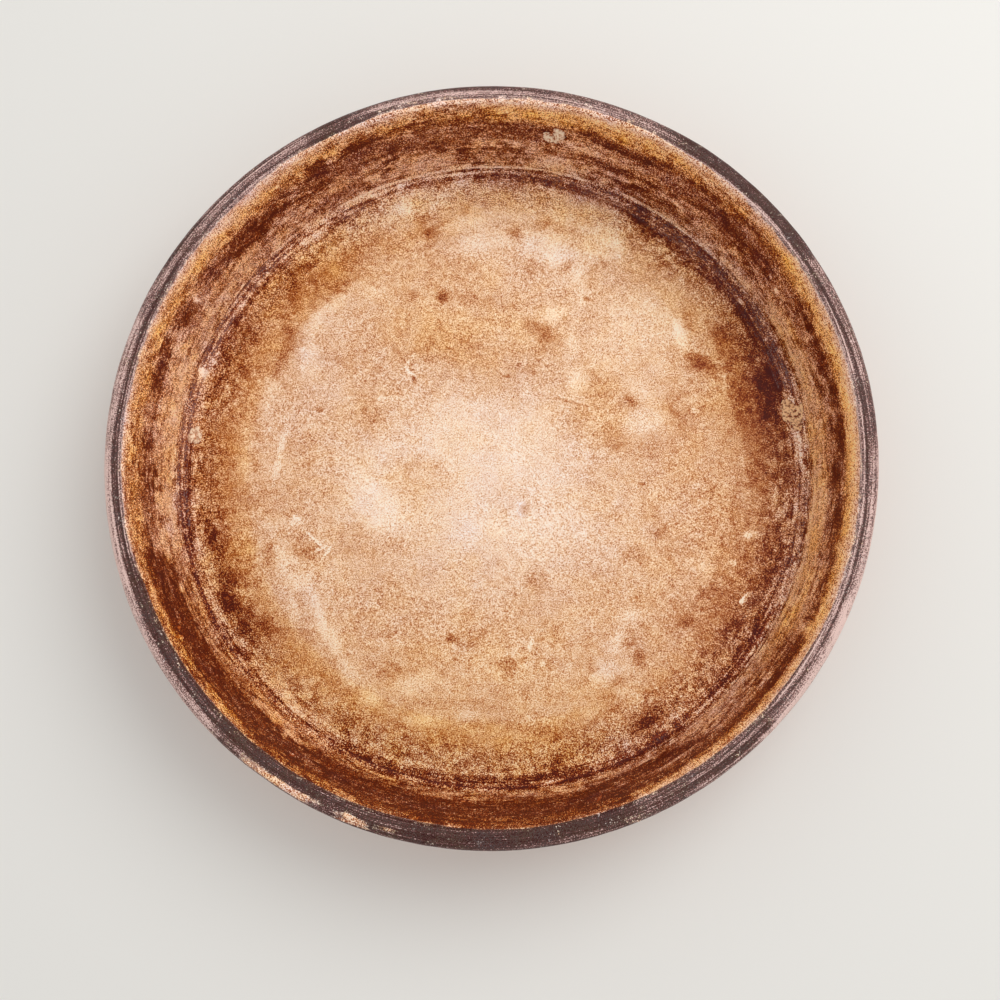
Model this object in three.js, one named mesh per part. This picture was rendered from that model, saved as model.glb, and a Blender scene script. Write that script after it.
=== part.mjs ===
// Round deep baking stone: a thick stoneware dish, pressed and fired as one piece of clay,
// with three bits of baked-on crust stuck to its inside.
// Millimetres, +Z up. The origin is the middle of the plane that the dish stands on.

import * as THREE from 'three';

const degrees = THREE.MathUtils.degToRad;

// Driving dimensions of the dish
const RIM_RADIUS = 145;
const OVERALL_HEIGHT = 52;
const WALL_THICKNESS = 7.35;
const WALL_FLARE = degrees(11);
const FLOOR_THICKNESS = 8;
const LIP_DEPTH = 10;
const LIP_OVERHANG = 2.3;
const FOOT_RING_WIDTH = 15;
const FOOT_HEIGHT = 1.2;
const FOOT_STEP_WIDTH = 3;

// Radii of the rounded edges, in the order that the outline meets them
const FOOT_STEP_ROUND = 1;
const HEEL_ROUND = 9;
const NECK_ROUND = 3;
const LIP_UNDER_ROUND = 2;
const LIP_OUTER_ROUND = 3.5;
const LIP_INNER_ROUND = 2;
const CREASE_ROUND = 4;

// Fineness of the dish: facets around it, and the widest turn of one step along a rounded edge
const FACETS_AROUND = 96;
const ROUND_STEP = degrees(20);

// The baked-on crust. Bearings run counterclockwise from +X as seen from above. A height is the
// distance along the inside from the line where the crease meets the floor, up the wall.
const CRUST_CLEARANCE = 0.3;
const CRUST_SPOKES = 20;
const CRUST_RINGS = 4;
const CRUSTS = [
  {
    name: 'upper_wall_crust',
    bearing: degrees(79.1),
    height: 28.3,
    length: 8.4,
    width: 8.4,
    thickness: 1.8,
    waist: 0.2,
    lean: degrees(38),
    ragged: 0.06,
    color: 0xdcae84,
  },
  {
    name: 'left_crease_crust',
    bearing: degrees(173.1),
    height: -2.6,
    length: 8,
    width: 5.4,
    thickness: 1.3,
    waist: 0.05,
    lean: 0,
    ragged: 0.08,
    color: 0xcfa58a,
  },
  {
    name: 'right_crease_crust',
    bearing: degrees(10.2),
    height: -0.4,
    length: 14.5,
    width: 9.8,
    thickness: 0.9,
    waist: 0.03,
    lean: 0,
    ragged: 0.08,
    color: 0xc39359,
  },
];

// Lines that the outline is drawn between
const FLARE_SLOPE = Math.tan(WALL_FLARE);
const LIP_UNDERSIDE = OVERALL_HEIGHT - LIP_DEPTH;
const WALL_ACROSS = WALL_THICKNESS / Math.cos(WALL_FLARE);

function outerWallRadius(z) {
  return RIM_RADIUS - LIP_OVERHANG - (LIP_UNDERSIDE - z) * FLARE_SLOPE;
}

function innerWallRadius(z) {
  return outerWallRadius(z) - WALL_ACROSS;
}

const HEEL_TANGENT = HEEL_ROUND * Math.tan((Math.PI / 2 - WALL_FLARE) / 2);
const FOOT_OUTER_RADIUS = outerWallRadius(0) - HEEL_TANGENT;
const FOOT_INNER_RADIUS = FOOT_OUTER_RADIUS - FOOT_RING_WIDTH;
const CREASE_TURN = Math.PI / 2 - WALL_FLARE;
const CREASE_TANGENT = CREASE_ROUND * Math.tan(CREASE_TURN / 2);
const FLOOR_RADIUS = innerWallRadius(FLOOR_THICKNESS) - CREASE_TANGENT;

// Half of the dish's section, from the axis under the floor, round the outside and back over
// the floor to the axis. Each corner holds its radius, its height and how far it is rounded.
const SECTION_CORNERS = [
  [0, FOOT_HEIGHT, 0],
  [FOOT_INNER_RADIUS - FOOT_STEP_WIDTH, FOOT_HEIGHT, FOOT_STEP_ROUND],
  [FOOT_INNER_RADIUS, 0, FOOT_STEP_ROUND],
  [outerWallRadius(0), 0, HEEL_ROUND],
  [outerWallRadius(LIP_UNDERSIDE), LIP_UNDERSIDE, NECK_ROUND],
  [RIM_RADIUS, LIP_UNDERSIDE + LIP_OVERHANG, LIP_UNDER_ROUND],
  [RIM_RADIUS, OVERALL_HEIGHT, LIP_OUTER_ROUND],
  [innerWallRadius(OVERALL_HEIGHT), OVERALL_HEIGHT, LIP_INNER_ROUND],
  [innerWallRadius(FLOOR_THICKNESS), FLOOR_THICKNESS, CREASE_ROUND],
  [0, FLOOR_THICKNESS, 0],
];

// Points of an arc that rounds the corner between two straight stretches
function roundedCorner(before, corner, after, radius) {
  const toBefore = before.clone().sub(corner).normalize();
  const toAfter = after.clone().sub(corner).normalize();
  const opening = Math.acos(toBefore.dot(toAfter));
  const tangent = radius / Math.tan(opening / 2);
  const towardsCentre = toBefore.clone().add(toAfter).normalize();
  const centre = corner.clone().addScaledVector(towardsCentre, radius / Math.sin(opening / 2));
  const start = corner.clone().addScaledVector(toBefore, tangent).sub(centre);
  const turn = Math.sign(toAfter.cross(toBefore)) * (Math.PI - opening);
  const steps = Math.max(2, Math.ceil(Math.abs(turn) / ROUND_STEP));
  const points = [];
  for (let step = 0; step <= steps; step += 1) {
    const angle = (turn * step) / steps;
    points.push(start.clone().rotateAround(new THREE.Vector2(), angle).add(centre));
  }
  return points;
}

function dishSection() {
  const corners = SECTION_CORNERS.map(([radius, height]) => new THREE.Vector2(radius, height));
  return SECTION_CORNERS.flatMap(([, , round], index) => {
    if (round === 0) {
      return [corners[index]];
    }
    return roundedCorner(corners[index - 1], corners[index], corners[index + 1], round);
  });
}

function stonewareDish() {
  const geometry = new THREE.LatheGeometry(dishSection(), FACETS_AROUND);
  geometry.rotateX(Math.PI / 2);
  const material = new THREE.MeshStandardMaterial({
    color: 0xa9683a,
    roughness: 0.72,
    metalness: 0,
  });
  const mesh = new THREE.Mesh(geometry, material);
  mesh.name = 'stoneware_dish';
  return mesh;
}

// The dish's inside at a distance along it from the floor's edge: over the floor where the
// distance is negative, then up the crease's arc and the wall. It gives the point as a radius
// and a height, and the direction that faces into the dish.
function insideSurface(distance) {
  if (distance <= 0) {
    const point = new THREE.Vector2(FLOOR_RADIUS + distance, FLOOR_THICKNESS);
    return { point, facing: new THREE.Vector2(0, 1) };
  }
  const arcLength = CREASE_ROUND * CREASE_TURN;
  const turned = Math.min(distance / CREASE_ROUND, CREASE_TURN);
  const facing = new THREE.Vector2(-Math.sin(turned), Math.cos(turned));
  const centre = new THREE.Vector2(FLOOR_RADIUS, FLOOR_THICKNESS + CREASE_ROUND);
  const point = centre.addScaledVector(facing, -CREASE_ROUND);
  if (distance > arcLength) {
    const upTheWall = new THREE.Vector2(Math.sin(WALL_FLARE), Math.cos(WALL_FLARE));
    point.addScaledVector(upTheWall, distance - arcLength);
  }
  return { point, facing };
}

// A lump of crust that follows the inside of the dish. Its outline is an oval with a waist and
// a ragged edge, and its top swells from that edge. The waist makes it longest where it leans.
// The two sides share the edge's points.
function crustLump(crust) {
  const middle = insideSurface(crust.height).point.x;

  function crustPoint(ring, spoke, lifted) {
    const share = ring / CRUST_RINGS;
    const angle = (2 * Math.PI * spoke) / CRUST_SPOKES;
    const waisted = crust.waist * Math.cos(2 * (angle - crust.lean));
    const oval = 1 + waisted + crust.ragged * Math.cos(5 * angle + 1);
    const sideways = (share * oval * Math.cos(angle) * crust.length) / 2;
    const upwards = (share * oval * Math.sin(angle) * crust.width) / 2;
    const { point, facing } = insideSurface(crust.height + upwards);
    const swell = lifted ? crust.thickness * Math.sqrt(1 - share * share) : 0;
    point.addScaledVector(facing, CRUST_CLEARANCE + swell);
    const bearing = crust.bearing + sideways / middle;
    return [point.x * Math.cos(bearing), point.x * Math.sin(bearing), point.y];
  }

  const positions = [];
  const triangles = [];
  for (let spoke = 0; spoke < CRUST_SPOKES; spoke += 1) {
    positions.push(...crustPoint(CRUST_RINGS, spoke, true));
  }
  for (const lifted of [true, false]) {
    const addTriangle = (a, b, c) => triangles.push(...(lifted ? [a, b, c] : [a, c, b]));
    let outer = 0;
    for (let ring = CRUST_RINGS - 1; ring > 0; ring -= 1) {
      const inner = positions.length / 3;
      for (let spoke = 0; spoke < CRUST_SPOKES; spoke += 1) {
        const next = (spoke + 1) % CRUST_SPOKES;
        positions.push(...crustPoint(ring, spoke, lifted));
        addTriangle(inner + spoke, outer + next, outer + spoke);
        addTriangle(inner + spoke, inner + next, outer + next);
      }
      outer = inner;
    }
    const tip = positions.length / 3;
    positions.push(...crustPoint(0, 0, lifted));
    for (let spoke = 0; spoke < CRUST_SPOKES; spoke += 1) {
      addTriangle(tip, outer + ((spoke + 1) % CRUST_SPOKES), outer + spoke);
    }
  }

  const geometry = new THREE.BufferGeometry();
  geometry.setAttribute('position', new THREE.Float32BufferAttribute(positions, 3));
  geometry.setIndex(triangles);
  geometry.computeVertexNormals();
  const material = new THREE.MeshStandardMaterial({
    color: crust.color,
    roughness: 0.85,
    metalness: 0,
  });
  const mesh = new THREE.Mesh(geometry, material);
  mesh.name = crust.name;
  return mesh;
}

const bakingStone = new THREE.Group();
bakingStone.add(stonewareDish());
bakingStone.add(...CRUSTS.map(crustLump));

export default bakingStone;
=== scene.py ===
"""Dresses the round deep baking stone: a stoneware dish darkened by years of baking.

The file is laid out as an add-on. Lengths in the property groups are metres; the shapes are
worked out in millimetres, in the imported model's own frame, and turned to metres at the end.
"""

import itertools
import math
from collections import namedtuple

import bpy
import numpy as np
from mathutils import Euler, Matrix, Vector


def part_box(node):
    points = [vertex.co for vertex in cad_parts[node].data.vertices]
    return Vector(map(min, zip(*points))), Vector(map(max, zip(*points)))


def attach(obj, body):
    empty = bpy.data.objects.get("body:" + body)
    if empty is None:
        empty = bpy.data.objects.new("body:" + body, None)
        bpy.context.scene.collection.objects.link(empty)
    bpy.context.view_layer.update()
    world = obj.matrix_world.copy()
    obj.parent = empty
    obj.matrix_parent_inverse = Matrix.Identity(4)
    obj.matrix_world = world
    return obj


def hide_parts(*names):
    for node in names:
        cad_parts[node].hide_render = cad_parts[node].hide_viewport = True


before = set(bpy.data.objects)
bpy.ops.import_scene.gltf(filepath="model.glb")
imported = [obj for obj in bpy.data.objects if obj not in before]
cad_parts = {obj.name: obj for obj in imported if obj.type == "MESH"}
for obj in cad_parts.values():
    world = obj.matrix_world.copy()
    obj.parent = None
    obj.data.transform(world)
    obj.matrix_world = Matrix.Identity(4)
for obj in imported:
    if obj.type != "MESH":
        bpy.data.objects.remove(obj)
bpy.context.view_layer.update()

bl_info = {
    "name": "Round deep baking stone",
    "version": (1, 0, 0),
    "blender": (4, 5, 0),
    "location": "3D View > Sidebar > Baking stone",
    "description": "A used stoneware baking dish with its baked-on crust and its stage",
    "category": "Object",
}

MM = 0.001
DISH_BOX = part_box("stoneware_dish")
DISH_TOP = DISH_BOX[1][2]
LIP_RADIUS = DISH_BOX[1][0]


def linear(hex_colour):
    """An sRGB hex colour as linear red, green, blue and an alpha of 1."""
    channels = [int(hex_colour[place : place + 2], 16) / 255 for place in (1, 3, 5)]
    turned = [c / 12.92 if c <= 0.04045 else ((c + 0.055) / 1.055) ** 2.4 for c in channels]
    return (*turned, 1.0)


def length(name, description, default):
    """A property for a length in metres."""
    return bpy.props.FloatProperty(
        name=name, description=description, default=default, unit="LENGTH", precision=5
    )


def colour(name, description, default):
    """A property for a colour, from an sRGB hex value."""
    return bpy.props.FloatVectorProperty(
        name=name, description=description, default=linear(default), size=4, subtype="COLOR"
    )


def share(name, description, default):
    """A property for a strength or a roughness."""
    return bpy.props.FloatProperty(name=name, description=description, default=default)


class DishSizes(bpy.types.PropertyGroup):
    """The dish's sizes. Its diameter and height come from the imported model."""

    rim_radius: length("Rim radius", "Outside of the lip", LIP_RADIUS)
    height: length("Height", "From the foot to the top of the lip", DISH_TOP)
    wall: length("Wall", "Thickness of the wall", 7.35 * MM)
    flare: bpy.props.FloatProperty(
        name="Flare",
        description="How far the wall leans out",
        default=math.radians(11),
        subtype="ANGLE",
    )
    floor: length("Floor", "Thickness of the floor", 8 * MM)
    lip_depth: length("Lip depth", "Height of the lip's outer band", 10 * MM)
    lip_overhang: length("Lip overhang", "How far the lip stands out from the wall", 2.3 * MM)
    foot_width: length("Foot width", "Width of the foot ring", 15 * MM)
    foot_height: length("Foot height", "Depth of the hollow in the underside", 1.2 * MM)
    foot_step: length("Foot step", "Width of the slope inside the foot ring", 3 * MM)
    columns: bpy.props.IntProperty(
        name="Columns", description="Steps of the mesh around the dish", default=480
    )


class StoneColours(bpy.types.PropertyGroup):
    """The colours of the clay, of the baked-in fat and of the crust."""

    chalk: colour("Chalky clay", "Clay scrubbed to its palest", "#FFF0DC")
    clay: colour("Bare clay", "Worn, nearly clean clay", "#FDDDBF")
    sand: colour("Sand", "Clay with a trace of fat", "#EBBE97")
    tan: colour("Tan", "Clay with a little fat baked in", "#D39C6C")
    amber: colour("Amber", "Clay stained amber", "#BE7746")
    rust: colour("Rust", "Clay stained reddish brown", "#A2542A")
    brown: colour("Brown", "Clay stained brown", "#823411")
    dark: colour("Dark", "Clay stained dark brown", "#6C1C06")
    scorch: colour("Scorch", "Burnt spots", "#4C1407")
    slate: colour("Dark film", "Thick purple-brown film on the lip and crease", "#2A0B12")
    # Mauve is the film's purple-grey; in the crease it is partly a painted reflection
    mauve_and_sheen: colour("Mauve film", "Thin purple-grey film", "#885F5C")
    # Ash is the film rubbed pale; on the right of the lip and in the crease it is partly a painted
    # sheen
    ash_and_sheen: colour("Ash film", "Film worn to a pale pink-grey", "#E2C3BA")
    pale_crust: colour("Pale crust", "Dry, pale baked-on crust", "#FFE6C8")
    brown_crust: colour("Brown crust", "Browned baked-on crust", "#FFD2A0")
    floor: colour("Stage floor", "The pale floor that the dish stands on", "#E6E4DF")


class StageSettings(bpy.types.PropertyGroup):
    """The lights' levels and the camera's place."""

    world: share("World light", "Strength of the even light from all round", 0.74)
    lamp: share("Lamp", "Strength of the large soft lamp, in watts", 6.0)
    camera_side: length("Camera to the side", "Camera's place along X", 11.3 * MM)
    camera_front: length("Camera to the front", "Camera's place along Y", -77.5 * MM)
    camera_height: length("Camera height", "Camera's place along Z", 491.2 * MM)
    camera_tilt: bpy.props.FloatProperty(
        name="Camera tilt",
        description="Turn about X, from looking straight down",
        default=math.radians(7.66),
        subtype="ANGLE",
    )
    camera_roll: bpy.props.FloatProperty(
        name="Camera lean",
        description="Turn about Y, from looking straight down",
        default=math.radians(0.96),
        subtype="ANGLE",
    )
    camera_lens: bpy.props.FloatProperty(
        name="Camera lens", description="Focal length in mm on a 36 mm sensor", default=43.2
    )


# Numbers and noise

def cloud(points, size, seed):
    """Smooth noise from -1 to 1 whose lumps are about size across.

    Every whole-number corner of a grid of that size has a value from a sine hash. Inside a cell
    the eight corners are blended with the weights 3t^2 - 2t^3 along each axis.
    """
    cell = points / size
    corner = np.floor(cell)
    part = cell - corner
    part = part * part * (3 - 2 * part)
    total = np.zeros(points.shape[:-1])
    for offset in itertools.product((0, 1), repeat=3):
        place = corner + offset
        wave = np.sin(place @ (127.1, 311.7, 74.7) + 17.3 * seed) * 43758.5453
        weight = np.prod(np.where(offset, part, 1 - part), axis=-1)
        total += weight * (2 * (wave - np.floor(wave)) - 1)
    return total


def clouds(points, size, seed, octaves=3):
    """Layers of cloud noise, each half the size and half the height of the one before."""
    layers = [cloud(points, size / 2**k, seed + k) / 2**k for k in range(octaves)]
    return sum(layers)


def rows_of(kind, *rows):
    """The rows as named tuples of one kind."""
    return tuple(kind(*row) for row in rows)


def turned_apart(bearing, other):
    """How many degrees one bearing lies from another, from -180 to 180."""
    return (bearing - other + 180) % 360 - 180


def soft_step(value, low, high):
    """0 below low and 1 above high, with 3t^2 - 2t^3 between them."""
    part = np.clip((value - low) / (high - low), 0, 1)
    return part * part * (3 - 2 * part)


# The dish's section

def dish_corners(sizes):
    """Corners of half the section, from the middle of the floor out over the wall and lip and
    back under the foot to the axis. Each is (radius, height, rounding), in millimetres.
    """
    slope = math.tan(sizes.flare)
    rim = sizes.rim_radius / MM
    top = sizes.height / MM
    floor = sizes.floor / MM
    lip_under = top - sizes.lip_depth / MM
    overhang = sizes.lip_overhang / MM
    across = sizes.wall / MM / math.cos(sizes.flare)

    def outer(z):
        return rim - overhang - (lip_under - z) * slope

    heel_round = 9
    foot_outer = outer(0) - heel_round * math.tan((math.pi / 2 - sizes.flare) / 2)
    foot_inner = foot_outer - sizes.foot_width / MM
    hollow = sizes.foot_height / MM
    return [
        (0, floor, 0),
        (outer(floor) - across, floor, 4),
        (outer(top) - across, top, 2),
        (rim, top, 3.5),
        (rim, lip_under + overhang, 2),
        (outer(lip_under), lip_under, 3),
        (outer(0), 0, heel_round),
        (foot_inner, 0, 1),
        (foot_inner - sizes.foot_step / MM, hollow, 1),
        (0, hollow, 0),
    ]


def rounded_outline(corners):
    """The outline through the corners, each rounded by the arc that touches both its sides.

    A corner with rounding q and an opening angle a has its arc's centre q / sin(a / 2) away on
    the line that halves the corner. The points come close together, so that the outline can be
    read at any distance along it.
    """
    places = np.array([corner[:2] for corner in corners], float)
    pieces = [places[:1]]
    for index in range(1, len(corners) - 1):
        corner = places[index]
        to_before = places[index - 1] - corner
        to_before /= np.linalg.norm(to_before)
        to_after = places[index + 1] - corner
        to_after /= np.linalg.norm(to_after)
        opening = math.acos(to_before @ to_after)
        rounding = corners[index][2]
        middle = to_before + to_after
        middle /= np.linalg.norm(middle)
        centre = corner + middle * rounding / math.sin(opening / 2)
        start = corner + to_before * rounding / math.tan(opening / 2) - centre
        cross = to_after[0] * to_before[1] - to_after[1] * to_before[0]
        turn = math.copysign(math.pi - opening, cross) * np.linspace(0, 1, 25)
        x = start[0] * np.cos(turn) - start[1] * np.sin(turn)
        z = start[0] * np.sin(turn) + start[1] * np.cos(turn)
        pieces.append(centre + np.stack([x, z], axis=-1))
    pieces.append(places[-1:])
    return np.concatenate(pieces)


Section = namedtuple("Section", "along radius height across_r across_z marks")


def dish_section(sizes):
    """Rows of the mesh along the section, close where the dish curves and wide under it.

    along is the distance in mm from the middle of the floor, and across is the direction that
    points out of the clay: the direction of the outline turned a quarter turn to the left.
    """
    corners = dish_corners(sizes)
    outline = rounded_outline(corners)
    steps = np.linalg.norm(np.diff(outline, axis=0), axis=1)
    reached = np.concatenate([[0], np.cumsum(steps)])
    end = reached[-1]

    def along_where(test):
        return reached[np.argmax(test)]

    rising = np.concatenate([[0], np.cumsum(np.diff(outline[:, 1]) > 1e-9)])
    floor_edge = along_where(rising > 0)
    top = sizes.height / MM
    lip_start = along_where(outline[:, 1] > top - 2.4)
    lip_end = along_where((outline[:, 1] < top - sizes.lip_depth / MM) & (reached > lip_start))
    foot = along_where((outline[:, 1] < 0.01) & (reached > lip_end))
    along = np.concatenate(
        [
            np.arange(2.0, floor_edge - 14, 1.5),
            np.arange(floor_edge - 14, floor_edge + 10, 0.65),
            np.arange(floor_edge + 10, lip_start, 1.05),
            np.arange(lip_start, lip_end, 0.75),
            np.arange(lip_end, foot, 2.4),
            np.arange(foot, end - 2, 7.0),
        ]
    )
    radius = np.interp(along, reached, outline[:, 0])
    height = np.interp(along, reached, outline[:, 1])
    ahead = np.minimum(along + 0.05, end)
    behind = along - 0.05
    run = np.interp(ahead, reached, outline[:, 0]) - np.interp(behind, reached, outline[:, 0])
    rise = np.interp(ahead, reached, outline[:, 1]) - np.interp(behind, reached, outline[:, 1])
    size = np.hypot(run, rise)
    marks = {"floor_edge": floor_edge, "lip_start": lip_start, "foot": foot}
    return Section(along, radius, height, -rise / size, run / size, marks)


# Where the dish is stained and worn

# The fields on each point of the mesh. Seasoning runs from 0, bare clay, to 1, clay that is dark
# brown with baked-in fat. Film is above 0 where a purple-grey skin of burnt fat lies over it; in
# the crease that purple-grey is partly a painted reflection. Worn is how far that film is rubbed
# pale, and on the right of the lip and in the crease that pale is partly a painted sheen. Warmth is
# how golden the stains are. The material breaks these up with finer noise. Along is the distance
# along the section in mm
FIELD_NAMES = ("seasoning", "film", "worn", "warmth", "along")

# Levels of seasoning at distances in mm from the middle of the floor, out along the section
SEASONING_ALONG = (
    (0, 0.07),
    (25, 0.08),
    (45, 0.13),
    (60, 0.17),
    (84, 0.19),
    (96, 0.22),
    (106, 0.29),
    (115, 0.43),
    (121, 0.48),
    (125, 0.50),
    (128, 0.53),
    (131, 0.49),
    (138, 0.53),
    (144, 0.61),
    (151, 0.67),
    (158, 0.68),
    (162, 0.60),
    (166, 0.41),
    (169, 0.30),
    (172, 0.24),
    (182, 0.26),
    (190, 0.52),
    (215, 0.46),
    (235, 0.38),
    (250, 0.18),
    (262, 0.20),
    (275, 0.28),
    (380, 0.22),
)

# A band lies between two bearings in degrees and two distances along the section in mm
Band = namedtuple("Band", "start end low high amount")

SEASONED_BANDS = rows_of(
    Band,
    # The dark ring round the upper wall, and its breaks
    (0, 360, 149, 163, 0.07),
    (88, 122, 137, 143, 0.10),
    (120, 215, 143, 160, 0.04),
    (298, 155, 124, 172, -0.06),
    (345, 32, 148, 160, 0.02),
    (32, 60, 143, 162, 0.08),
    (60, 79, 147, 153, -0.06),
    (80, 99, 143, 152, -0.06),
    (80, 92, 148, 160, 0.08),
    (105, 120, 148, 162, 0.06),
    (118, 126, 148, 168, -0.05),
    (134, 162, 161, 169, -0.10),
    (165, 226, 163, 170.5, 0.09),
    (268, 290, 163, 170.5, 0.08),
    (0, 16, 163, 170.5, -0.07),
    (118, 136, 163, 170.5, -0.08),
    (136, 180, 146, 161, -0.07),
    (157, 167, 144, 152, -0.10),
    (300, 314, 146, 160, 0.06),
    (180, 195, 153, 163, -0.06),
    (195, 243, 142, 163, 0.19),
    (228, 243, 162, 171, 0.30),
    (243, 292, 140, 171, 0.27),
    (252, 290, 163, 171.5, 0.18),
    (291, 306, 137, 151, 0.18),
    (293, 331, 156, 164, 0.12),
    (331, 346, 140, 170, -0.10),
    # The lower wall, and a ridge at its foot rubbed pale
    (72, 140, 128.9, 130.3, -0.42),
    (42, 64, 128.0, 129.2, -0.25),
    (345, 30, 132, 143, -0.17),
    (32, 60, 136, 143, 0.08),
    (58, 76, 131, 144, 0.12),
    (240, 312, 131, 143, 0.07),
    (15, 30, 131, 143, -0.04),
    (165, 180, 131, 143, -0.04),
    (127, 160, 132, 147, -0.10),
    (158, 194, 131, 151, -0.17),
    (195, 335, 131, 144, 0.10),
    (322, 358, 131, 146, -0.14),
    (328, 360, 132.0, 133.6, -0.16),
    (90, 150, 143, 150, 0.15),
    (240, 330, 143, 150, 0.12),
    (302, 330, 143, 150, 0.08),
    (180, 240, 143, 150, 0.12),
    (240, 270, 137, 163, 0.12),
    (30, 60, 143, 150, 0.10),
    (330, 360, 143, 150, 0.12),
    (62, 90, 150, 160, 0.10),
    (120, 182, 155, 163, -0.07),
    (240, 300, 150, 162, 0.14),
    # Under the lip
    (185, 245, 165.5, 171.5, 0.15),
    (92, 120, 159, 170, 0.18),
    (60, 92, 163, 170, 0.06),
    (30, 62, 159, 165, 0.12),
    (300, 330, 159, 165, 0.12),
    (345, 32, 161, 169, -0.16),
    (60, 90, 161, 169, -0.14),
    # The edge of the floor, and the crease
    (292, 28, 76, 102, 0.03),
    (32, 95, 78, 112, -0.03),
    (125, 182, 78, 96, -0.03),
    (90, 122, 98, 114, 0.02),
    (270, 360, 100, 122, -0.035),
    (355, 33, 104, 123, 0.16),
    (14, 62, 118, 128, 0.22),
    (60, 112, 106, 122, -0.14),
    (58, 86, 121.5, 127.5, 0.20),
    (100, 128, 112, 129, -0.14),
    (196, 212, 111, 122, 0.08),
    (118, 188, 98, 121, 0.07),
    (196, 245, 104, 121, 0.06),
    (330, 346, 104, 121, 0.07),
    (322, 360, 98, 126, 0.08),
    (180, 335, 124, 130, 0.12),
    (240, 332, 124, 130, 0.10),
    (120, 150, 124, 130, 0.14),
    (150, 210, 125, 130, 0.08),
    (178, 210, 124, 130, -0.05),
    (210, 240, 124, 130, 0.06),
    (332, 360, 125, 130, -0.08),
    (80, 100, 123, 130, -0.06),
    (28, 62, 119, 125, 0.13),
    (14, 36, 127.5, 132, 0.30),
    (28, 62, 123.5, 128.5, 0.04),
    (0, 28, 125, 130, -0.05),
    (60, 90, 125, 130, 0.10),
    (182, 210, 120, 125, -0.20),
    (245, 300, 120, 125, -0.08),
    (305, 360, 120, 125, -0.03),
    (135, 180, 123, 130, 0.08),
    (195, 226, 126.6, 127.5, 0.12),
    (195, 226, 128.6, 129.5, 0.12),
    (222, 242, 110, 126, -0.14),
    (300, 345, 114, 124, 0.06),
    (333, 350, 121.6, 122.5, -0.20),
    (333, 350, 125.6, 126.5, -0.20),
)

# A spot is an oval on the wall, lip or crease: its middle as a bearing in degrees and a distance
# along the section in mm, and its half sizes in the same units
Spot = namedtuple("Spot", "bearing along half_turn half_along amount")

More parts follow.
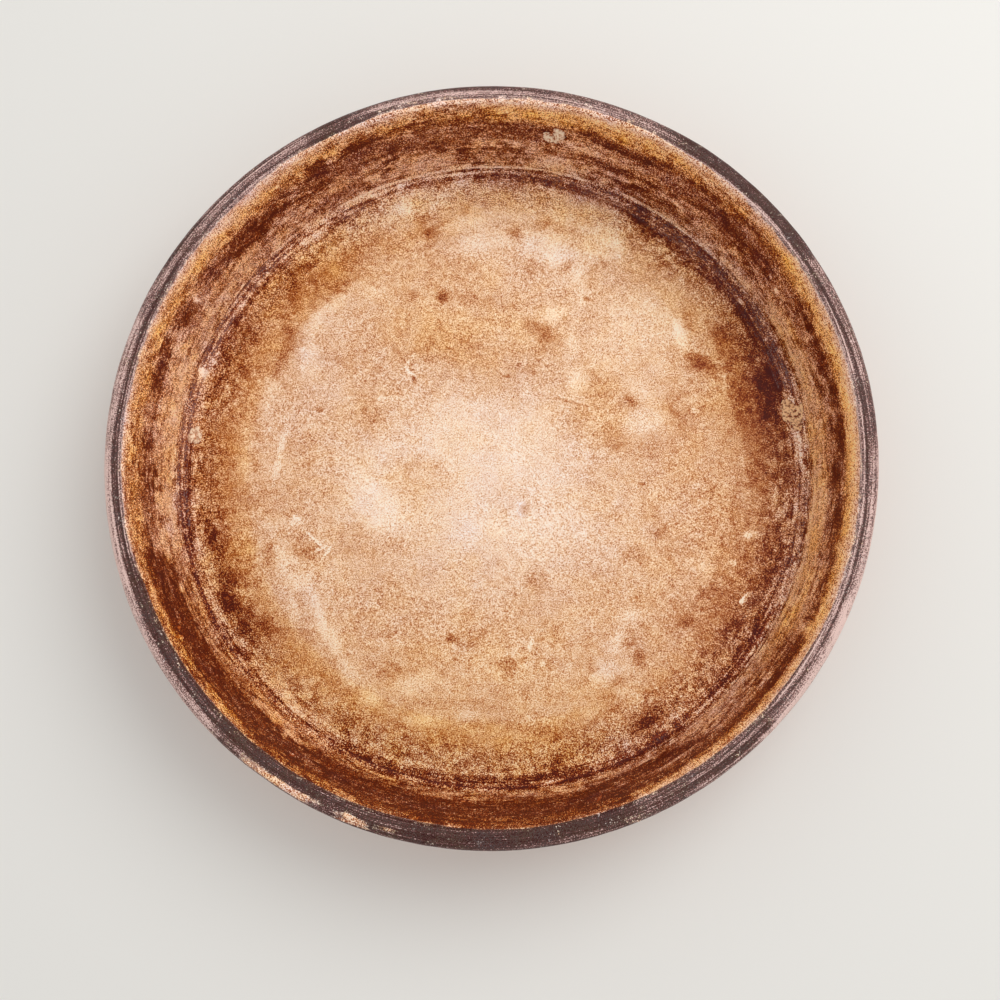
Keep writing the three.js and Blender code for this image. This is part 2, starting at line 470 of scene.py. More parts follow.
WALL_SPOTS = rows_of(
    Spot,
    # The dark ring from the right to the back
    (3.8, 157.5, 3.4, 4.6, 0.26),
    (10.8, 157, 2.6, 4.4, 0.30),
    (15.8, 155.5, 2.0, 4.0, 0.24),
    (17.5, 153, 2.6, 6.0, 0.12),
    (22.7, 157, 1.8, 3.6, 0.26),
    (26.2, 156, 1.3, 3.0, 0.24),
    (8, 153.5, 0.9, 6.0, -0.14),
    (21, 152.0, 0.9, 6.0, -0.12),
    (28.5, 153, 2.4, 6.0, -0.16),
    (36, 150.5, 3.4, 4.6, 0.28),
    (46, 152, 5.0, 6.0, 0.12),
    (31, 147.7, 0.8, 1.1, -0.45),
    (33.5, 150, 0.8, 1.1, -0.42),
    (36, 151, 1.0, 0.9, -0.42),
    (54.4, 144.4, 0.9, 1.6, -0.45),
    (55, 140.5, 0.9, 1.2, -0.30),
    (66, 156, 6.5, 2.8, 0.20),
    (74, 160, 3.0, 2.0, 0.24),
    (71.5, 150.5, 6.5, 4.5, -0.30),
    (67.5, 143, 3.6, 3.2, 0.28),
    (75.5, 144, 6.0, 1.2, 0.26),
    (76.5, 135.5, 5.8, 5.5, -0.22),
    (86, 136.5, 4.0, 6.5, 0.16),
    (38.5, 131, 5.0, 1.6, -0.24),
    (59, 134, 11.5, 4.2, 0.18),
    (44, 163.5, 10, 3.0, 0.10),
    # From the back to the left
    (93.5, 136.5, 3.6, 6.5, 0.18),
    (102, 136, 5.0, 5.5, -0.18),
    (103, 141, 2.3, 1.6, -0.20),
    (112, 138, 0.8, 2.2, -0.32),
    (119, 134.5, 7.5, 4.2, 0.22),
    (119, 143, 7.5, 2.4, -0.20),
    (104, 153, 3.6, 5.0, 0.16),
    (112, 160, 4.0, 6.0, 0.16),
    (104, 159, 0.8, 3.2, -0.34),
    (109, 159, 2.4, 0.6, -0.34),
    (117.2, 161, 1.4, 3.4, -0.36),
    (120.8, 157, 2.6, 8.5, 0.16),
    (129.5, 160.5, 3.6, 5.0, 0.12),
    (125, 152, 1.6, 5.0, -0.14),
    (137, 151, 6.4, 6.6, 0.22),
    (146.5, 157, 3.8, 4.6, 0.16),
    (146, 147, 3.4, 3.4, -0.24),
    (153.5, 150.5, 2.6, 8.0, 0.24),
    (151, 153, 0.8, 3.2, -0.36),
    (160, 151, 2.4, 5.0, -0.12),
    (165.5, 155.5, 2.8, 4.6, 0.18),
    (170.5, 154, 2.0, 5.0, -0.10),
    (176.8, 155, 2.6, 6.5, 0.18),
    (168, 140, 9.0, 5.0, -0.08),
    (170.5, 137, 0.9, 3.4, -0.18),
    # From the left to the front
    (182, 150, 2.2, 5.0, 0.14),
    (190.5, 144.5, 6.8, 4.5, -0.18),
    (188, 157, 3.4, 3.0, 0.08),
    (199, 156, 4.2, 7.5, 0.10),
    (208, 153, 4.2, 7.0, 0.10),
    (217, 150, 5.0, 5.5, 0.10),
    (212.5, 159, 2.6, 3.0, -0.12),
    (226, 155, 3.6, 7.0, 0.08),
    (235, 153, 3.6, 6.0, 0.08),
    (245, 148.5, 5.0, 6.0, 0.06),
    (241, 156, 5.5, 1.3, -0.34),
    (233.2, 142, 0.8, 6.0, -0.34),
    (235, 139.5, 1.3, 3.6, -0.30),
    (188, 136, 9.0, 4.5, -0.14),
    (202, 140.8, 0.9, 2.6, -0.34),
    (220.5, 135.5, 3.8, 4.5, 0.16),
    (228, 136, 3.6, 5.5, -0.20),
    (212, 140, 6.0, 3.0, 0.06),
    (243, 139, 5.0, 4.0, 0.10),
    (254, 137, 4.2, 5.5, 0.14),
    (264, 137, 5.0, 4.5, -0.12),
    # From the front to the right
    (286, 134, 11, 3.0, -0.14),
    (294.5, 149.5, 4.0, 1.3, -0.30),
    (301.5, 152.3, 3.8, 1.2, -0.30),
    (301.5, 145.0, 4.4, 5.0, 0.22),
    (315.5, 146.5, 6.5, 6.5, -0.14),
    (310.5, 151.6, 1.0, 3.2, -0.36),
    (321.5, 152.3, 1.6, 1.6, -0.36),
    (306.8, 143.5, 0.9, 2.2, -0.32),
    (311.4, 141.4, 0.9, 1.8, -0.32),
    (331.2, 138.0, 1.7, 1.8, -0.30),
    (331.4, 156.0, 0.9, 1.8, -0.30),
    (320, 159, 10.5, 3.8, 0.20),
    (315, 134.5, 13, 3.0, -0.20),
    (337, 159.5, 6.5, 3.2, 0.26),
    (336, 147, 6.5, 7.0, -0.14),
    (347, 156, 6.0, 4.6, 0.22),
    (350, 144.5, 5.0, 4.5, -0.12),
    (357.5, 152.5, 2.8, 5.0, 0.24),
    # The crease
    (4, 125.5, 5.0, 0.8, -0.30),
    (17.5, 118.5, 1.8, 4.6, 0.14),
    (92.5, 124, 2.6, 2.2, 0.10),
    (118, 125, 6.0, 2.0, 0.22),
    (129.5, 125, 5.5, 4.0, -0.16),
    (161.5, 126.5, 1.5, 2.4, -0.50),
    (183.5, 125.5, 3.4, 2.4, 0.06),
    (191, 126.5, 4.2, 3.4, 0.12),
    (206, 120, 2.6, 3.4, 0.24),
    (213, 119, 2.6, 3.0, 0.24),
    (193, 117.5, 3.0, 2.6, 0.18),
    (247.5, 127.5, 7.5, 2.4, 0.14),
    (260, 127.5, 2.2, 2.2, 0.14),
    (280, 127.5, 10, 2.4, 0.16),
    (281, 127.2, 2.4, 0.5, -0.34),
    (300, 125.5, 10, 3.4, 0.14),
    (341.5, 119.5, 8.5, 2.4, 0.12),
    (341.5, 124, 8.5, 1.6, 0.14),
    (349, 128, 6.0, 1.2, 0.14),
    (282.5, 119, 1.0, 3.0, 0.14),
    (300.5, 118, 1.2, 2.2, 0.10),
    (332, 113.8, 1.3, 1.3, -0.40),
    # Drips down the outside
    (211, 200, 7.0, 18.0, 0.20),
    (29, 203, 6.0, 21.0, 0.18),
    (104, 198, 3.0, 15.0, 0.20),
    (324, 200, 4.5, 17.0, 0.18),
)

FILM_AND_SHEEN_BANDS = rows_of(
    Band,
    # The crease, where the purple-grey film is partly a painted reflection of light in the bend
    (135, 187, 124.6, 126.4, 0.55),
    (135, 187, 127.2, 129.4, 0.48),
    (15, 62, 121.5, 129.0, 0.46),
    (62, 90, 122.5, 128, 0.34),
    (112, 124, 123, 127, 0.36),
    (333, 360, 123.5, 129, 0.36),
    (187, 196, 123, 130, 0.22),
    (290, 310, 123, 128.6, 0.26),
    # The lip, and thinly the outside under it
    (0, 360, 173.0, 190, 1.35),
    (200, 264, 169.6, 173.4, 1.1),
    (264, 328, 170.8, 173.4, 1.0),
    (318, 44, 171.3, 173.4, 0.80),
    (128, 200, 171.4, 173.4, 0.72),
    (88, 128, 172.2, 173.4, 0.50),
    (60, 112, 172, 175.0, -0.60),
    (230, 246, 175.9, 180.4, -1.08),
    (249, 256, 175.4, 180.4, -1.15),
    (290, 293.5, 176.2, 181.0, -0.60),
    (0, 360, 190, 204, 0.30),
)

# Where the film is rubbed to a pale pink-grey, and where it is thickest and nearly black. On the
# right of the lip the pale pink-grey is partly a painted sheen, light shining off the film
WEAR_AND_SHEEN_BANDS = rows_of(
    Band,
    # From bearing 300 round to 31, on the right of the lip: rubbed film, partly a painted sheen
    (0, 13, 176.0, 182.5, 0.24),
    (13, 31, 175.2, 178.8, 0.44),
    (13, 31, 178.8, 182.5, 0.24),
    (31, 42, 174.6, 182.5, -0.08),
    (38, 62, 176.6, 179.6, -0.34),
    (32, 66, 175.0, 181.5, -0.14),
    (58, 152, 173.8, 177.0, 0.24),
    (0, 30, 177.0, 181.5, -0.06),
    (60, 96, 175.0, 182.5, 0.28),
    (94, 113, 174.8, 179.6, 0.24),
    (112, 119, 171.0, 178.0, -0.24),
    (117, 137, 174.8, 182.5, 0.40),
    (136, 150, 174.4, 179.4, 0.12),
    (150, 157, 175.0, 182.5, 0.40),
    (157, 176, 175.0, 182.5, 0.74),
    (176, 226, 175.6, 182.5, 0.66),
    (176, 204, 178.6, 182.5, 0.26),
    (256, 291, 171.0, 177.0, -0.32),
    (200, 256, 170.6, 175.6, -0.14),
    (291, 318, 175.6, 179.8, 0.02),
    (291, 333, 172.4, 173.0, 0.40),
    (291, 333, 174.0, 174.7, 0.35),
    (314, 336, 175.0, 182.5, 0.80),
    (333, 360, 175.6, 178.0, 0.56),
    (333, 360, 178.0, 182.5, 0.84),
    (298, 360, 172.6, 174.0, 0.10),
    (0, 46, 172.6, 175, -0.06),
    (150, 180, 170.8, 174.4, -0.26),
    (180, 212, 170.8, 174.4, -0.12),
    (178, 212, 177, 181.5, 0.26),
    (212, 244, 177, 181.5, -0.02),
    (92, 120, 171, 174, -0.22),
    (286, 345, 172.4, 175, -0.03),
    (226, 262, 170.6, 175.6, -0.06),
    (80, 100, 175, 182.5, -0.14),
    (104, 150, 177, 181.5, -0.16),
    (88, 106, 177, 181.5, -0.14),
    (300, 334, 177, 182.5, 0.38),
    (256, 290, 175, 182.5, -0.18),
    # Thin dark lines and the grey strip that they edge
    (0, 60, 173.9, 174.8, -0.30),
    (104, 176, 173.8, 174.7, -0.24),
    (157, 166, 173.4, 175.0, -0.24),
    (318, 46, 171.2, 173.4, 0.46),
    (44, 200, 171.2, 173.4, 0.52),
    (318, 60, 173.2, 173.8, 0.50),
    # The crease: paler grey film, partly a painted highlight in the bend
    (0, 360, 119, 130.5, 0.08),
    (135, 187, 119, 130.5, 0.18),
    (18, 31, 124, 129, 0.14),
)

# A patch is an oval on the floor: its middle and half sizes in mm and its turn in degrees
Patch = namedtuple("Patch", "x y half_x half_y turn amount")

FLOOR_PATCHES = rows_of(
    Patch,
    # Worn pale
    (-16, -2, 50, 28, 10, -0.05),
    (-50, -12, 14, 13, 0, -0.08),
    (14, -28, 30, 14, 0, -0.05),
    (-92, 32, 5, 9, 12, -0.12),
    (-76, 50, 5, 12, -10, -0.09),
    (-66, 69, 13, 3.2, 42, -0.12),
    (-50, 75, 6, 2.4, 5, -0.09),
    (-36, 112, 5, 5, 0, -0.14),
    (-12, 104, 10, 3.2, 0, -0.12),
    (-4, 93, 14, 6, 0, -0.09),
    (24, 94, 20, 8, -10, -0.10),
    (26, 86, 9, 5, -30, -0.06),
    (48, 96, 10, 6, -35, -0.10),
    (37, 80, 4, 9, 0, -0.10),
    (24, 66, 4, 5, 0, -0.13),
    (33, 51, 2.4, 6, 10, -0.12),
    (36, 36, 4.5, 5, 0, -0.13),
    (50, 50, 12, 12, 0, -0.06),
    (64, 66, 14, 14, 0, -0.09),
    (77, 57, 2.4, 9, 22, -0.13),
    (72, 92, 16, 8, -40, -0.12),
    (70, 44, 6, 5, 0, -0.07),
    (82, 29, 2.6, 2.6, 0, -0.18),
    (60, 34, 6, 4, -25, -0.08),
    (55, -60, 8, 3.6, 20, -0.14),
    (49, -70, 3.6, 6, -15, -0.14),
    (44, -84, 5, 9, -12, -0.15),
    (52, -80, 5, 4, 0, -0.10),
    (56, -94, 6, 6, 0, -0.12),
    (-83, -36, 4, 6, 0, -0.13),
    (-77, -47, 6, 4, -20, -0.12),
    (-70, -56, 2.5, 7, 20, -0.13),
    (-80, -58, 2.2, 7, 0, -0.11),
    (-66, -68, 3.4, 9, 35, -0.15),
    (-57, -81, 3.6, 6, 30, -0.12),
    (-48, -92, 6, 2.5, -15, -0.12),
    (-30, -86, 9, 4, 0, -0.11),
    (-26, -101, 9, 2.4, -5, -0.12),
    (-8, -99, 6, 2.2, 0, -0.10),
    (-80, -93, 9, 3, -42, -0.14),
    (-90, -22, 9, 5, -40, -0.09),
    (84, -38, 6, 4, 0, -0.10),
    (104, -27, 5, 4, 0, -0.14),
    (-101, 6, 4, 14, 0, -0.11),
    (-74, 92, 22, 8, 42, -0.07),
    # Baked-in fat
    (20, 58, 8.5, 4.5, -30, 0.22),
    (-8, 44, 34, 12, 0, 0.07),
    (-22, 52, 24, 10, 5, 0.07),
    (-34, 73, 3, 2.6, 0, 0.16),
    (-20, 73, 3.6, 3, 0, 0.20),
    (-9, 72, 5, 3.4, 0, 0.14),
    (2, 70, 6, 3, 0, 0.08),
    (-62, 77, 5, 4, 0, 0.10),
    (-70, 71, 5, 4, 40, 0.06),
    (-82, 76, 2.6, 12, 6, 0.13),
    (-87, 52, 2.8, 12, -14, 0.14),
    (-104, 48, 8, 12, -25, 0.08),
    (-76, 12, 9, 9, 0, 0.07),
    (-51, 21, 5, 6, 0, 0.09),
    (-25, 107, 7, 8, 0, 0.10),
    (-26, 101, 2.6, 2.6, 0, 0.20),
    (9, 99, 4.6, 3.4, -30, 0.17),
    (16, 85, 3, 3.4, 0, 0.13),
    (31, 86, 5, 2.2, 40, 0.17),
    (46, 87, 3.4, 3, 0, 0.12),
    (22, 105, 4, 3, 0, 0.10),
    (42, 33, 6, 6, -50, 0.11),
    (56, 28, 3.6, 3.2, 0, 0.13),
    (50, 13, 5, 6, 0, 0.11),
    (36, 20, 5, 6, 0, 0.09),
    (64, 10, 12, 6, 0, 0.08),
    (78, 28, 12, 8, 0, 0.08),
    (86, 44.5, 7, 3.2, -32, 0.30),
    (94, 56, 4, 3.4, 0, 0.12),
    (80, 63, 3.4, 4, 0, 0.10),
    (106, 26, 10, 24, 0, 0.10),
    (114, 37, 6.5, 5.5, 0, 0.42),
    (113, 24, 4, 8, 0, 0.14),
    (-33, -6, 14, 12, -20, 0.07),
    (-76, -31, 5, 5, -30, 0.13),
    (-71, -35, 4, 4, 0, 0.13),
    (-50, -30, 16, 9, 0, 0.06),
    (-112, -27, 4, 7, 0, 0.16),
    (-106, -43, 6, 4, 0, 0.12),
    (-105, -54, 3.4, 7, 20, 0.20),
    (-97, -62, 9, 4, -40, 0.12),
    (-90, -34, 2.4, 5, 0, 0.12),
    (-16, -68, 2.4, 2.0, 0, 0.30),
    (-8, -68, 5, 5, 0, 0.09),
    (-42, -81, 8, 5, 0, 0.07),
    (-58, -99, 5, 3, -35, 0.14),
    (6, -79, 4, 4, 0, 0.13),
    (18, -45, 5, 6, 0, 0.10),
    (40, -80, 3, 3.4, 0, 0.15),
    (59, -76, 2.4, 4, 0, 0.19),
    (55, -70, 5, 2.6, 25, 0.16),
    (57, -36, 6, 5, 0, 0.09),
    (66, -24, 5, 7, 0, 0.10),
    (16, -104, 10, 2.4, -4, 0.12),
    (50, -95, 7, 4, 0, 0.10),
    (26, -117, 5, 3, 10, 0.16),
    (62, -100, 8, 4, 35, 0.20),
    (87, -50, 5, 2.2, 30, 0.12),
    (77, -62, 4, 4, 0, 0.12),
    (96, -56, 10, 12, -15, 0.05),
)

# A stroke is a mark too thin for the mesh, which the material draws: its place, half sizes in mm,
# its turn in degrees, and how much it darkens. On the floor the place is x and y in mm. There
# are sixty in all. With 91 of them the dish was drawn black, so larger marks are on the mesh
Stroke = namedtuple("Stroke", "x y half_x half_y turn amount")

FLOOR_STROKES = rows_of(
    Stroke,
    # A hook and long faint arcs scrubbed pale
    (-33, 47, 3.2, 0.8, 45, -0.16),
    (-35, 43, 2.6, 0.8, 90, -0.16),
    (-33.5, 40.2, 2.2, 0.7, -27, -0.16),
    (-85.5, 13, 6.2, 1.3, 73, -0.14),
    (-88, 1.5, 7.0, 1.3, 81, -0.12),
    (-49, 30, 12, 0.9, 0, -0.08),
    (62, 20, 10, 4.2, 12, -0.08),
    (67.5, -101.5, 9, 0.6, 25, -0.16),
    # White hairlines, ticks and crumbs
    (-72.5, -28, 5.0, 0.5, -41, -0.26),
    (-67, -34, 4.0, 0.5, 56, -0.24),
    (-70, -32.5, 3.6, 0.5, 27, -0.24),
    (-80, -21, 2.3, 2.1, 0, -0.22),
    (15.5, -70.5, 3.0, 0.8, 79, -0.18),
    (20, -78.5, 1.1, 0.9, 0, -0.20),
    (102, -51.5, 2.8, 0.9, 37, -0.26),
    (103, -27, 1.6, 1.3, 0, -0.22),
    (97, -38, 1.6, 1.3, 0, -0.22),
    (83, 24, 1.7, 1.4, 0, -0.18),
    (103, 70.5, 2.4, 1.2, -56, -0.24),
    # Dark dots and dashes
    (-32, 37.5, 2.0, 0.7, -56, 0.22),
    (-71, 25, 1.3, 0.9, 0, 0.24),
    (6, 39, 1.5, 0.7, 0, 0.22),
    (11, 44, 1.0, 0.8, 0, 0.22),
    (17, 40, 1.0, 0.8, 0, 0.22),
    (39, 71.5, 1.5, 0.9, -27, 0.26),
    (61, -6, 1.3, 0.9, 0, 0.26),
    (-20, 73, 1.9, 1.4, 0, 0.18),
    (32.5, 28, 7.2, 0.6, -17, 0.15),
    (56, 29, 3.0, 0.8, -45, 0.17),
    (13.5, -16, 2.4, 1.5, 60, 0.16),
)

# On the wall and crease the place is a bearing in degrees and the distance along the section
WALL_STROKES = rows_of(
    Stroke,
    (16.0, 158.2, 0.8, 1.1, 10, -0.30),
    (8.3, 151.5, 1.1, 1.9, 25, -0.28),
    (21.0, 150.8, 0.9, 1.8, 15, -0.26),
    (31.2, 147.3, 1.1, 1.6, 10, -0.45),
    (33.6, 149.5, 0.8, 1.0, 0, -0.38),
    (36.0, 150.9, 1.0, 1.1, -30, -0.42),
    (64.7, 152.2, 2.1, 0.5, -15, -0.28),
    (85.7, 146.5, 0.8, 2.4, 0, -0.30),
    (34.2, 124.6, 2.1, 0.9, -15, -0.38),
    (25.7, 125.3, 0.8, 0.7, 0, -0.45),
    (103.8, 160.4, 2.2, 0.4, 35, -0.30),
    (104.2, 158.2, 2.2, 0.4, -35, -0.28),
    (128.3, 163.4, 1.7, 0.7, 15, -0.42),
    (137.3, 148.6, 5.5, 0.4, 18, -0.20),
    (151.0, 152.6, 0.9, 2.4, -12, -0.42),
    (161.0, 126.8, 1.3, 2.6, 45, -0.48),
    (190.3, 161.5, 0.6, 2.4, 0, -0.24),
    (208.8, 157.5, 0.8, 1.4, 0, -0.38),
    (210.5, 160.6, 0.7, 2.6, 0, -0.32),
    (236.6, 156.2, 0.7, 1.8, 10, -0.30),
    (265.4, 140.2, 0.9, 0.9, 0, -0.50),
    (287.6, 156.0, 0.8, 2.6, 20, -0.26),
    (273.3, 133.5, 0.6, 1.9, 0, -0.42),
    (332.0, 113.5, 2.0, 0.6, 0, -0.50),
    (337.0, 122.2, 8.5, 0.4, 0, -0.18),
    (330.0, 126.3, 24, 0.4, 0, -0.14),
    (298.0, 125.2, 26, 0.4, 0, -0.14),
    (281.0, 126.8, 4.6, 0.5, -4, -0.42),
    (3.5, 125.4, 10, 0.4, 0, -0.22),
    (322.6, 133.8, 1.0, 2.2, 0, 0.24),
)

# How golden the stains are, from about -1, pinkish grey, to 1, golden orange. Levels out along
# the section, then bands, then patches of the floor
WARMTH_ALONG = (
    (0, -0.4),
    (45, -0.2),
    (62, 0.1),
    (108, 0.5),
    (122, 0.4),
    (126, -0.1),
    (131, 0.9),
    (146, 0.9),
    (151, 0.5),
    (157, 0.8),
    (160, 2.2),
    (163, 3.0),
    (166, 2.8),
    (169, 1.6),
    (171.5, -0.2),
    (190, -0.2),
    (380, 0.0),
)

WARM_BANDS = rows_of(
    Band,
    (196, 290, 102, 148, 1.0),
    (120, 200, 100, 122, 0.7),
    (60, 92, 160, 169, 0.9),
    (205, 250, 160, 170, 0.6),
    (156, 196, 132, 148, 0.5),
    (328, 34, 159, 168, 0.6),
    (118, 150, 166, 172, -0.8),
    (325, 30, 130, 146, 1.2),
    (30, 112, 100, 119, 0.5),
    (10, 112, 121, 129.5, -0.5),
    (135, 195, 124, 130, -0.3),
    (325, 12, 122, 130, -0.3),
    (32, 62, 144, 158, -0.5),
    (48, 72, 130, 146, -0.5),
    (110, 127, 130, 139, -0.5),
    (320, 345, 136, 160, 0.8),
    (100, 118, 146, 160, -0.4),
    (140, 160, 146, 160, -0.4),
)

WARM_PATCHES = rows_of(
    Patch,
    (0, -98, 92, 34, 0, 0.4),
    (0, -66, 40, 24, 0, 0.2),
    (-12, 56, 36, 14, 0, 1.0),
    (44, 24, 10, 17, 0, 0.9),
    (96, 45, 9, 22, 0, 0.8),
    (-35, -8, 9, 12, 0, 0.6),
    (-78, 84, 24, 14, 45, 0.7),
    (-76, 38, 18, 26, -20, -0.7),
    (20, 92, 44, 14, -10, -0.6),
    (52, -76, 12, 15, -20, -0.5),
    (-76, -50, 8, 16, 25, -0.4),
    (13, -16, 2.5, 4.0, 0, -1.0),
    (114, 37, 8, 8, 0, -1.0),
)


# Half widths of the bands' soft edges: degrees round the dish, and mm along the section
SEASONED_SOFT = (2.4, 1.2)
WARM_SOFT = (6.0, 1.5)
FILM_AND_SHEEN_SOFT = (3.5, 0.6)
WEAR_AND_SHEEN_SOFT = (2.6, 0.5)

# An oval mark is whole within the first share of its half sizes and gone beyond the second
PATCH_FADE = (0.45, 1.35)
SPOT_FADE = (0.65, 1.25)
CHIP_FADE = (0.5, 1.1)

# A patch of at least this many square mm (half size times half size) is read fully aside
LARGE_PATCH = 60
PATCH_STRENGTH = 1.25

# A band less high than this, in mm, is read hardly aside
NARROW_BAND = 2

# Distances along the section, in mm: the floor's end, and where its edge and the wall begin
FLOOR_END = 126
EDGE_BEGINS = (84, 104)
WALL_BEGINS = (128, 134)

# Seasoning is pushed away from a middle level, by this share of how far it lies from it
EDGE_CONTRAST = 0.15
EDGE_MIDDLE = 0.36
WALL_CONTRAST = 0.24
WALL_MIDDLE = 0.57


def band_cover(band, bearing, along, soft_turn, soft_length):
    """1 inside a band and 0 outside it, with a soft edge each way, thinner on a thin band."""
    soft_length = min(soft_length, 0.4 * (band.high - band.low))
    half = ((band.end - band.start) % 360 or 360) / 2
    middle = band.start + half
    off = np.abs(turned_apart(bearing, middle))
    across = 1 - soft_step(off, half - soft_turn, half + soft_turn) if half < 180 else 1
    up = soft_step(along, band.low - soft_length, band.low + soft_length)
    down = 1 - soft_step(along, band.high - soft_length, band.high + soft_length)
    return across * up * down


def patch_cover(patch, points, aside):
    """1 in the middle of a patch, falling to 0 a little outside its oval.

    The points are read a little aside, and less so for a small patch, so that it stays in place.
    """
    ease = min(1.0, patch.half_x * patch.half_y / LARGE_PATCH)
    x = points[..., 0] + ease * aside[1] - patch.x
    y = points[..., 1] + ease * aside[2] - patch.y
    turn = math.radians(patch.turn)
    across = x * math.cos(turn) + y * math.sin(turn)
    up = y * math.cos(turn) - x * math.sin(turn)
    return 1 - soft_step(np.hypot(across / patch.half_x, up / patch.half_y), *PATCH_FADE)


def spot_cover(spot, bearing, along):
    """1 in the middle of a spot on the wall, falling to 0 a little outside its oval."""
    turn = turned_apart(bearing, spot.bearing) / spot.half_turn
    rise = (along - spot.along) / spot.half_along
    return 1 - soft_step(np.hypot(turn, rise), *SPOT_FADE)


def stain_fields(points, bearing, along):
    """Seasoning, film, wear and warmth at each point, before the material's fine noise.

    Each is the level for its distance along the section plus the amounts of the bands, spots
    and patches that cover it. The places are read a few mm aside, by smooth noise, so that no stain
    has an even edge.
    """
    aside = [
        5.0 * clouds(points, 22, seed)
        + 1.6 * clouds(points, 6, seed)
        + 1.3 * clouds(points, 2.8, seed + 1)
        for seed in (3, 11, 19)
    ]
    on_floor = along < FLOOR_END
    ease = np.where(on_floor, 1.0, 0.38)
    shifted = along + 0.55 * ease * aside[0]
    turned = bearing + 0.8 * aside[1]
    barely = along + 0.10 * aside[2]
    ragged = 0.55 * clouds(points, 3.2, 71)
    near = along + 0.12 * aside[0] + 0.7 * ragged
    beside = bearing + 0.12 * aside[1] + 0.5 * ragged
    seasoning = np.interp(shifted, *zip(*SEASONING_ALONG))
    for band in SEASONED_BANDS:
        reading = barely if band.high - band.low < NARROW_BAND else shifted
        seasoning += band.amount * band_cover(band, turned, reading, *SEASONED_SOFT)
    for spot in WALL_SPOTS:
        seasoning += spot.amount * spot_cover(spot, beside, near)
    for patch in FLOOR_PATCHES:
        strength = PATCH_STRENGTH * patch.amount
        seasoning += strength * patch_cover(patch, points, aside) * on_floor
    seasoning += 0.05 * clouds(points, 16, 31)
    on_wall = soft_step(along, *WALL_BEGINS)
    seasoning += WALL_CONTRAST * on_wall * (seasoning - WALL_MIDDLE)
    round_the_edge = soft_step(along, *EDGE_BEGINS) * (1 - on_wall)
    seasoning += EDGE_CONTRAST * round_the_edge * (seasoning - EDGE_MIDDLE)

    warmth = np.interp(along, *zip(*WARMTH_ALONG)) + 0.5 * clouds(points, 13, 67)
    for band in WARM_BANDS:
        warmth += band.amount * band_cover(band, turned, along, *WARM_SOFT)
    for patch in WARM_PATCHES:
        warmth += patch.amount * patch_cover(patch, points, aside) * on_floor

    film = np.zeros_like(along)
    for band in FILM_AND_SHEEN_BANDS:
        film += band.amount * band_cover(band, turned, barely, *FILM_AND_SHEEN_SOFT)
    worn = np.zeros_like(along)
    for band in WEAR_AND_SHEEN_BANDS:
        worn += band.amount * band_cover(band, turned, barely, *WEAR_AND_SHEEN_SOFT)
    return before_soft_step((seasoning + 0.1) / 1.1), film, worn, warmth


def before_soft_step(level):
    """The part from 0 to 1 whose 3t^2 - 2t^3 is the level.

    The material adds its noise to the part and then takes the soft step, so that half-stained
    clay is mottled the most, and both clean and very dark clay stay quiet.
    """
    part = np.linspace(0, 1, 501)
    return np.interp(level, part * part * (3 - 2 * part), part)


# The dish's mesh

# A chip is a shallow loss of clay or film: bearing and half turn in degrees, distance along the
# section, half length along it and depth in mm
Chip = namedtuple("Chip", "bearing half_turn along half_length depth")

LIP_CHIPS = rows_of(
    Chip,
    (251, 4.5, 178.6, 2.0, 0.55),
    (115, 2.2, 174.5, 3.0, 0.40),
    (237, 6.0, 180.3, 1.4, 0.30),
    (344, 1.6, 174.0, 1.6, 0.35),
    (31, 1.3, 179.5, 1.5, 0.35),
    (196, 1.2, 172.6, 1.2, 0.30),
)


# A ridge and a groove at the wall's foot: how far each rises from the section, its middle along
# the section and its half width, all in mm
WALL_FOOT_LINES = ((0.30, 130.4, 0.8), (-0.28, 127.2, 1.3))


def surface_relief(points, bearing, along, marks):
    """How far each point lies from the even section, in mm, out of the clay.

    Broad and small unevenness from pressing, a low ridge and groove where the wall rises from
    the crease, and the lip's chips. Nothing rises above the section on the lip or the foot.
    """
    ripple = 0.12 * clouds(points, 19, 41) + 0.05 * clouds(points, 4.5, 47, 2)
    wander = 0.35 * clouds(points, 26, 53)
    bare = ripple
    for rise, middle, half in WALL_FOOT_LINES:
        bare = bare + rise * np.exp(-(((along - middle) / half) ** 2))
    bare = bare + wander * soft_step(along, FLOOR_END, WALL_BEGINS[1])
    lip = -0.22 + 0.14 * clouds(points, 30, 59) + 0.05 * clouds(points, 3.5, 61, 2)
    for chip in LIP_CHIPS:
        turn = turned_apart(bearing, chip.bearing) / chip.half_turn
        rise = (along - chip.along) / chip.half_length
        lip -= chip.depth * (1 - soft_step(np.hypot(turn, rise), *CHIP_FADE))
    on_lip = soft_step(along, marks["lip_start"] - 6, marks["lip_start"])
    under = soft_step(along, marks["foot"] - 6, marks["foot"])
    relief = bare * (1 - on_lip) + np.minimum(lip, 0) * on_lip
    return relief * (1 - under) - 0.03 * under


def closed_skin(ring_points, first_pole, last_pole):
    """Vertices and faces of a closed skin: rings of points and a point that closes each end.

    ring_points holds a column for each step round the skin and a row for each ring.
    """
    columns, rows = ring_points.shape[:2]
    vertices = np.concatenate([ring_points.reshape(-1, 3), [first_pole, last_pole]])
    column = np.arange(columns)[:, None]
    beside = (column + 1) % columns
    row = np.arange(rows - 1)[None, :]
    around = (column * rows + row, column * rows + row + 1, beside * rows + row + 1)
    quads = np.stack([*around, beside * rows + row], axis=-1).reshape(-1, 4)
    first = (np.arange(columns) * rows)[:, None]
    after = (np.arange(1, columns + 1) % columns * rows)[:, None]
    pole = np.full_like(first, len(vertices) - 2)
    first_fan = np.concatenate([pole, first, after], axis=1)
    last_fan = np.concatenate([pole + 1, after + rows - 1, first + rows - 1], axis=1)
    return vertices, quads.tolist() + first_fan.tolist() + last_fan.tolist()


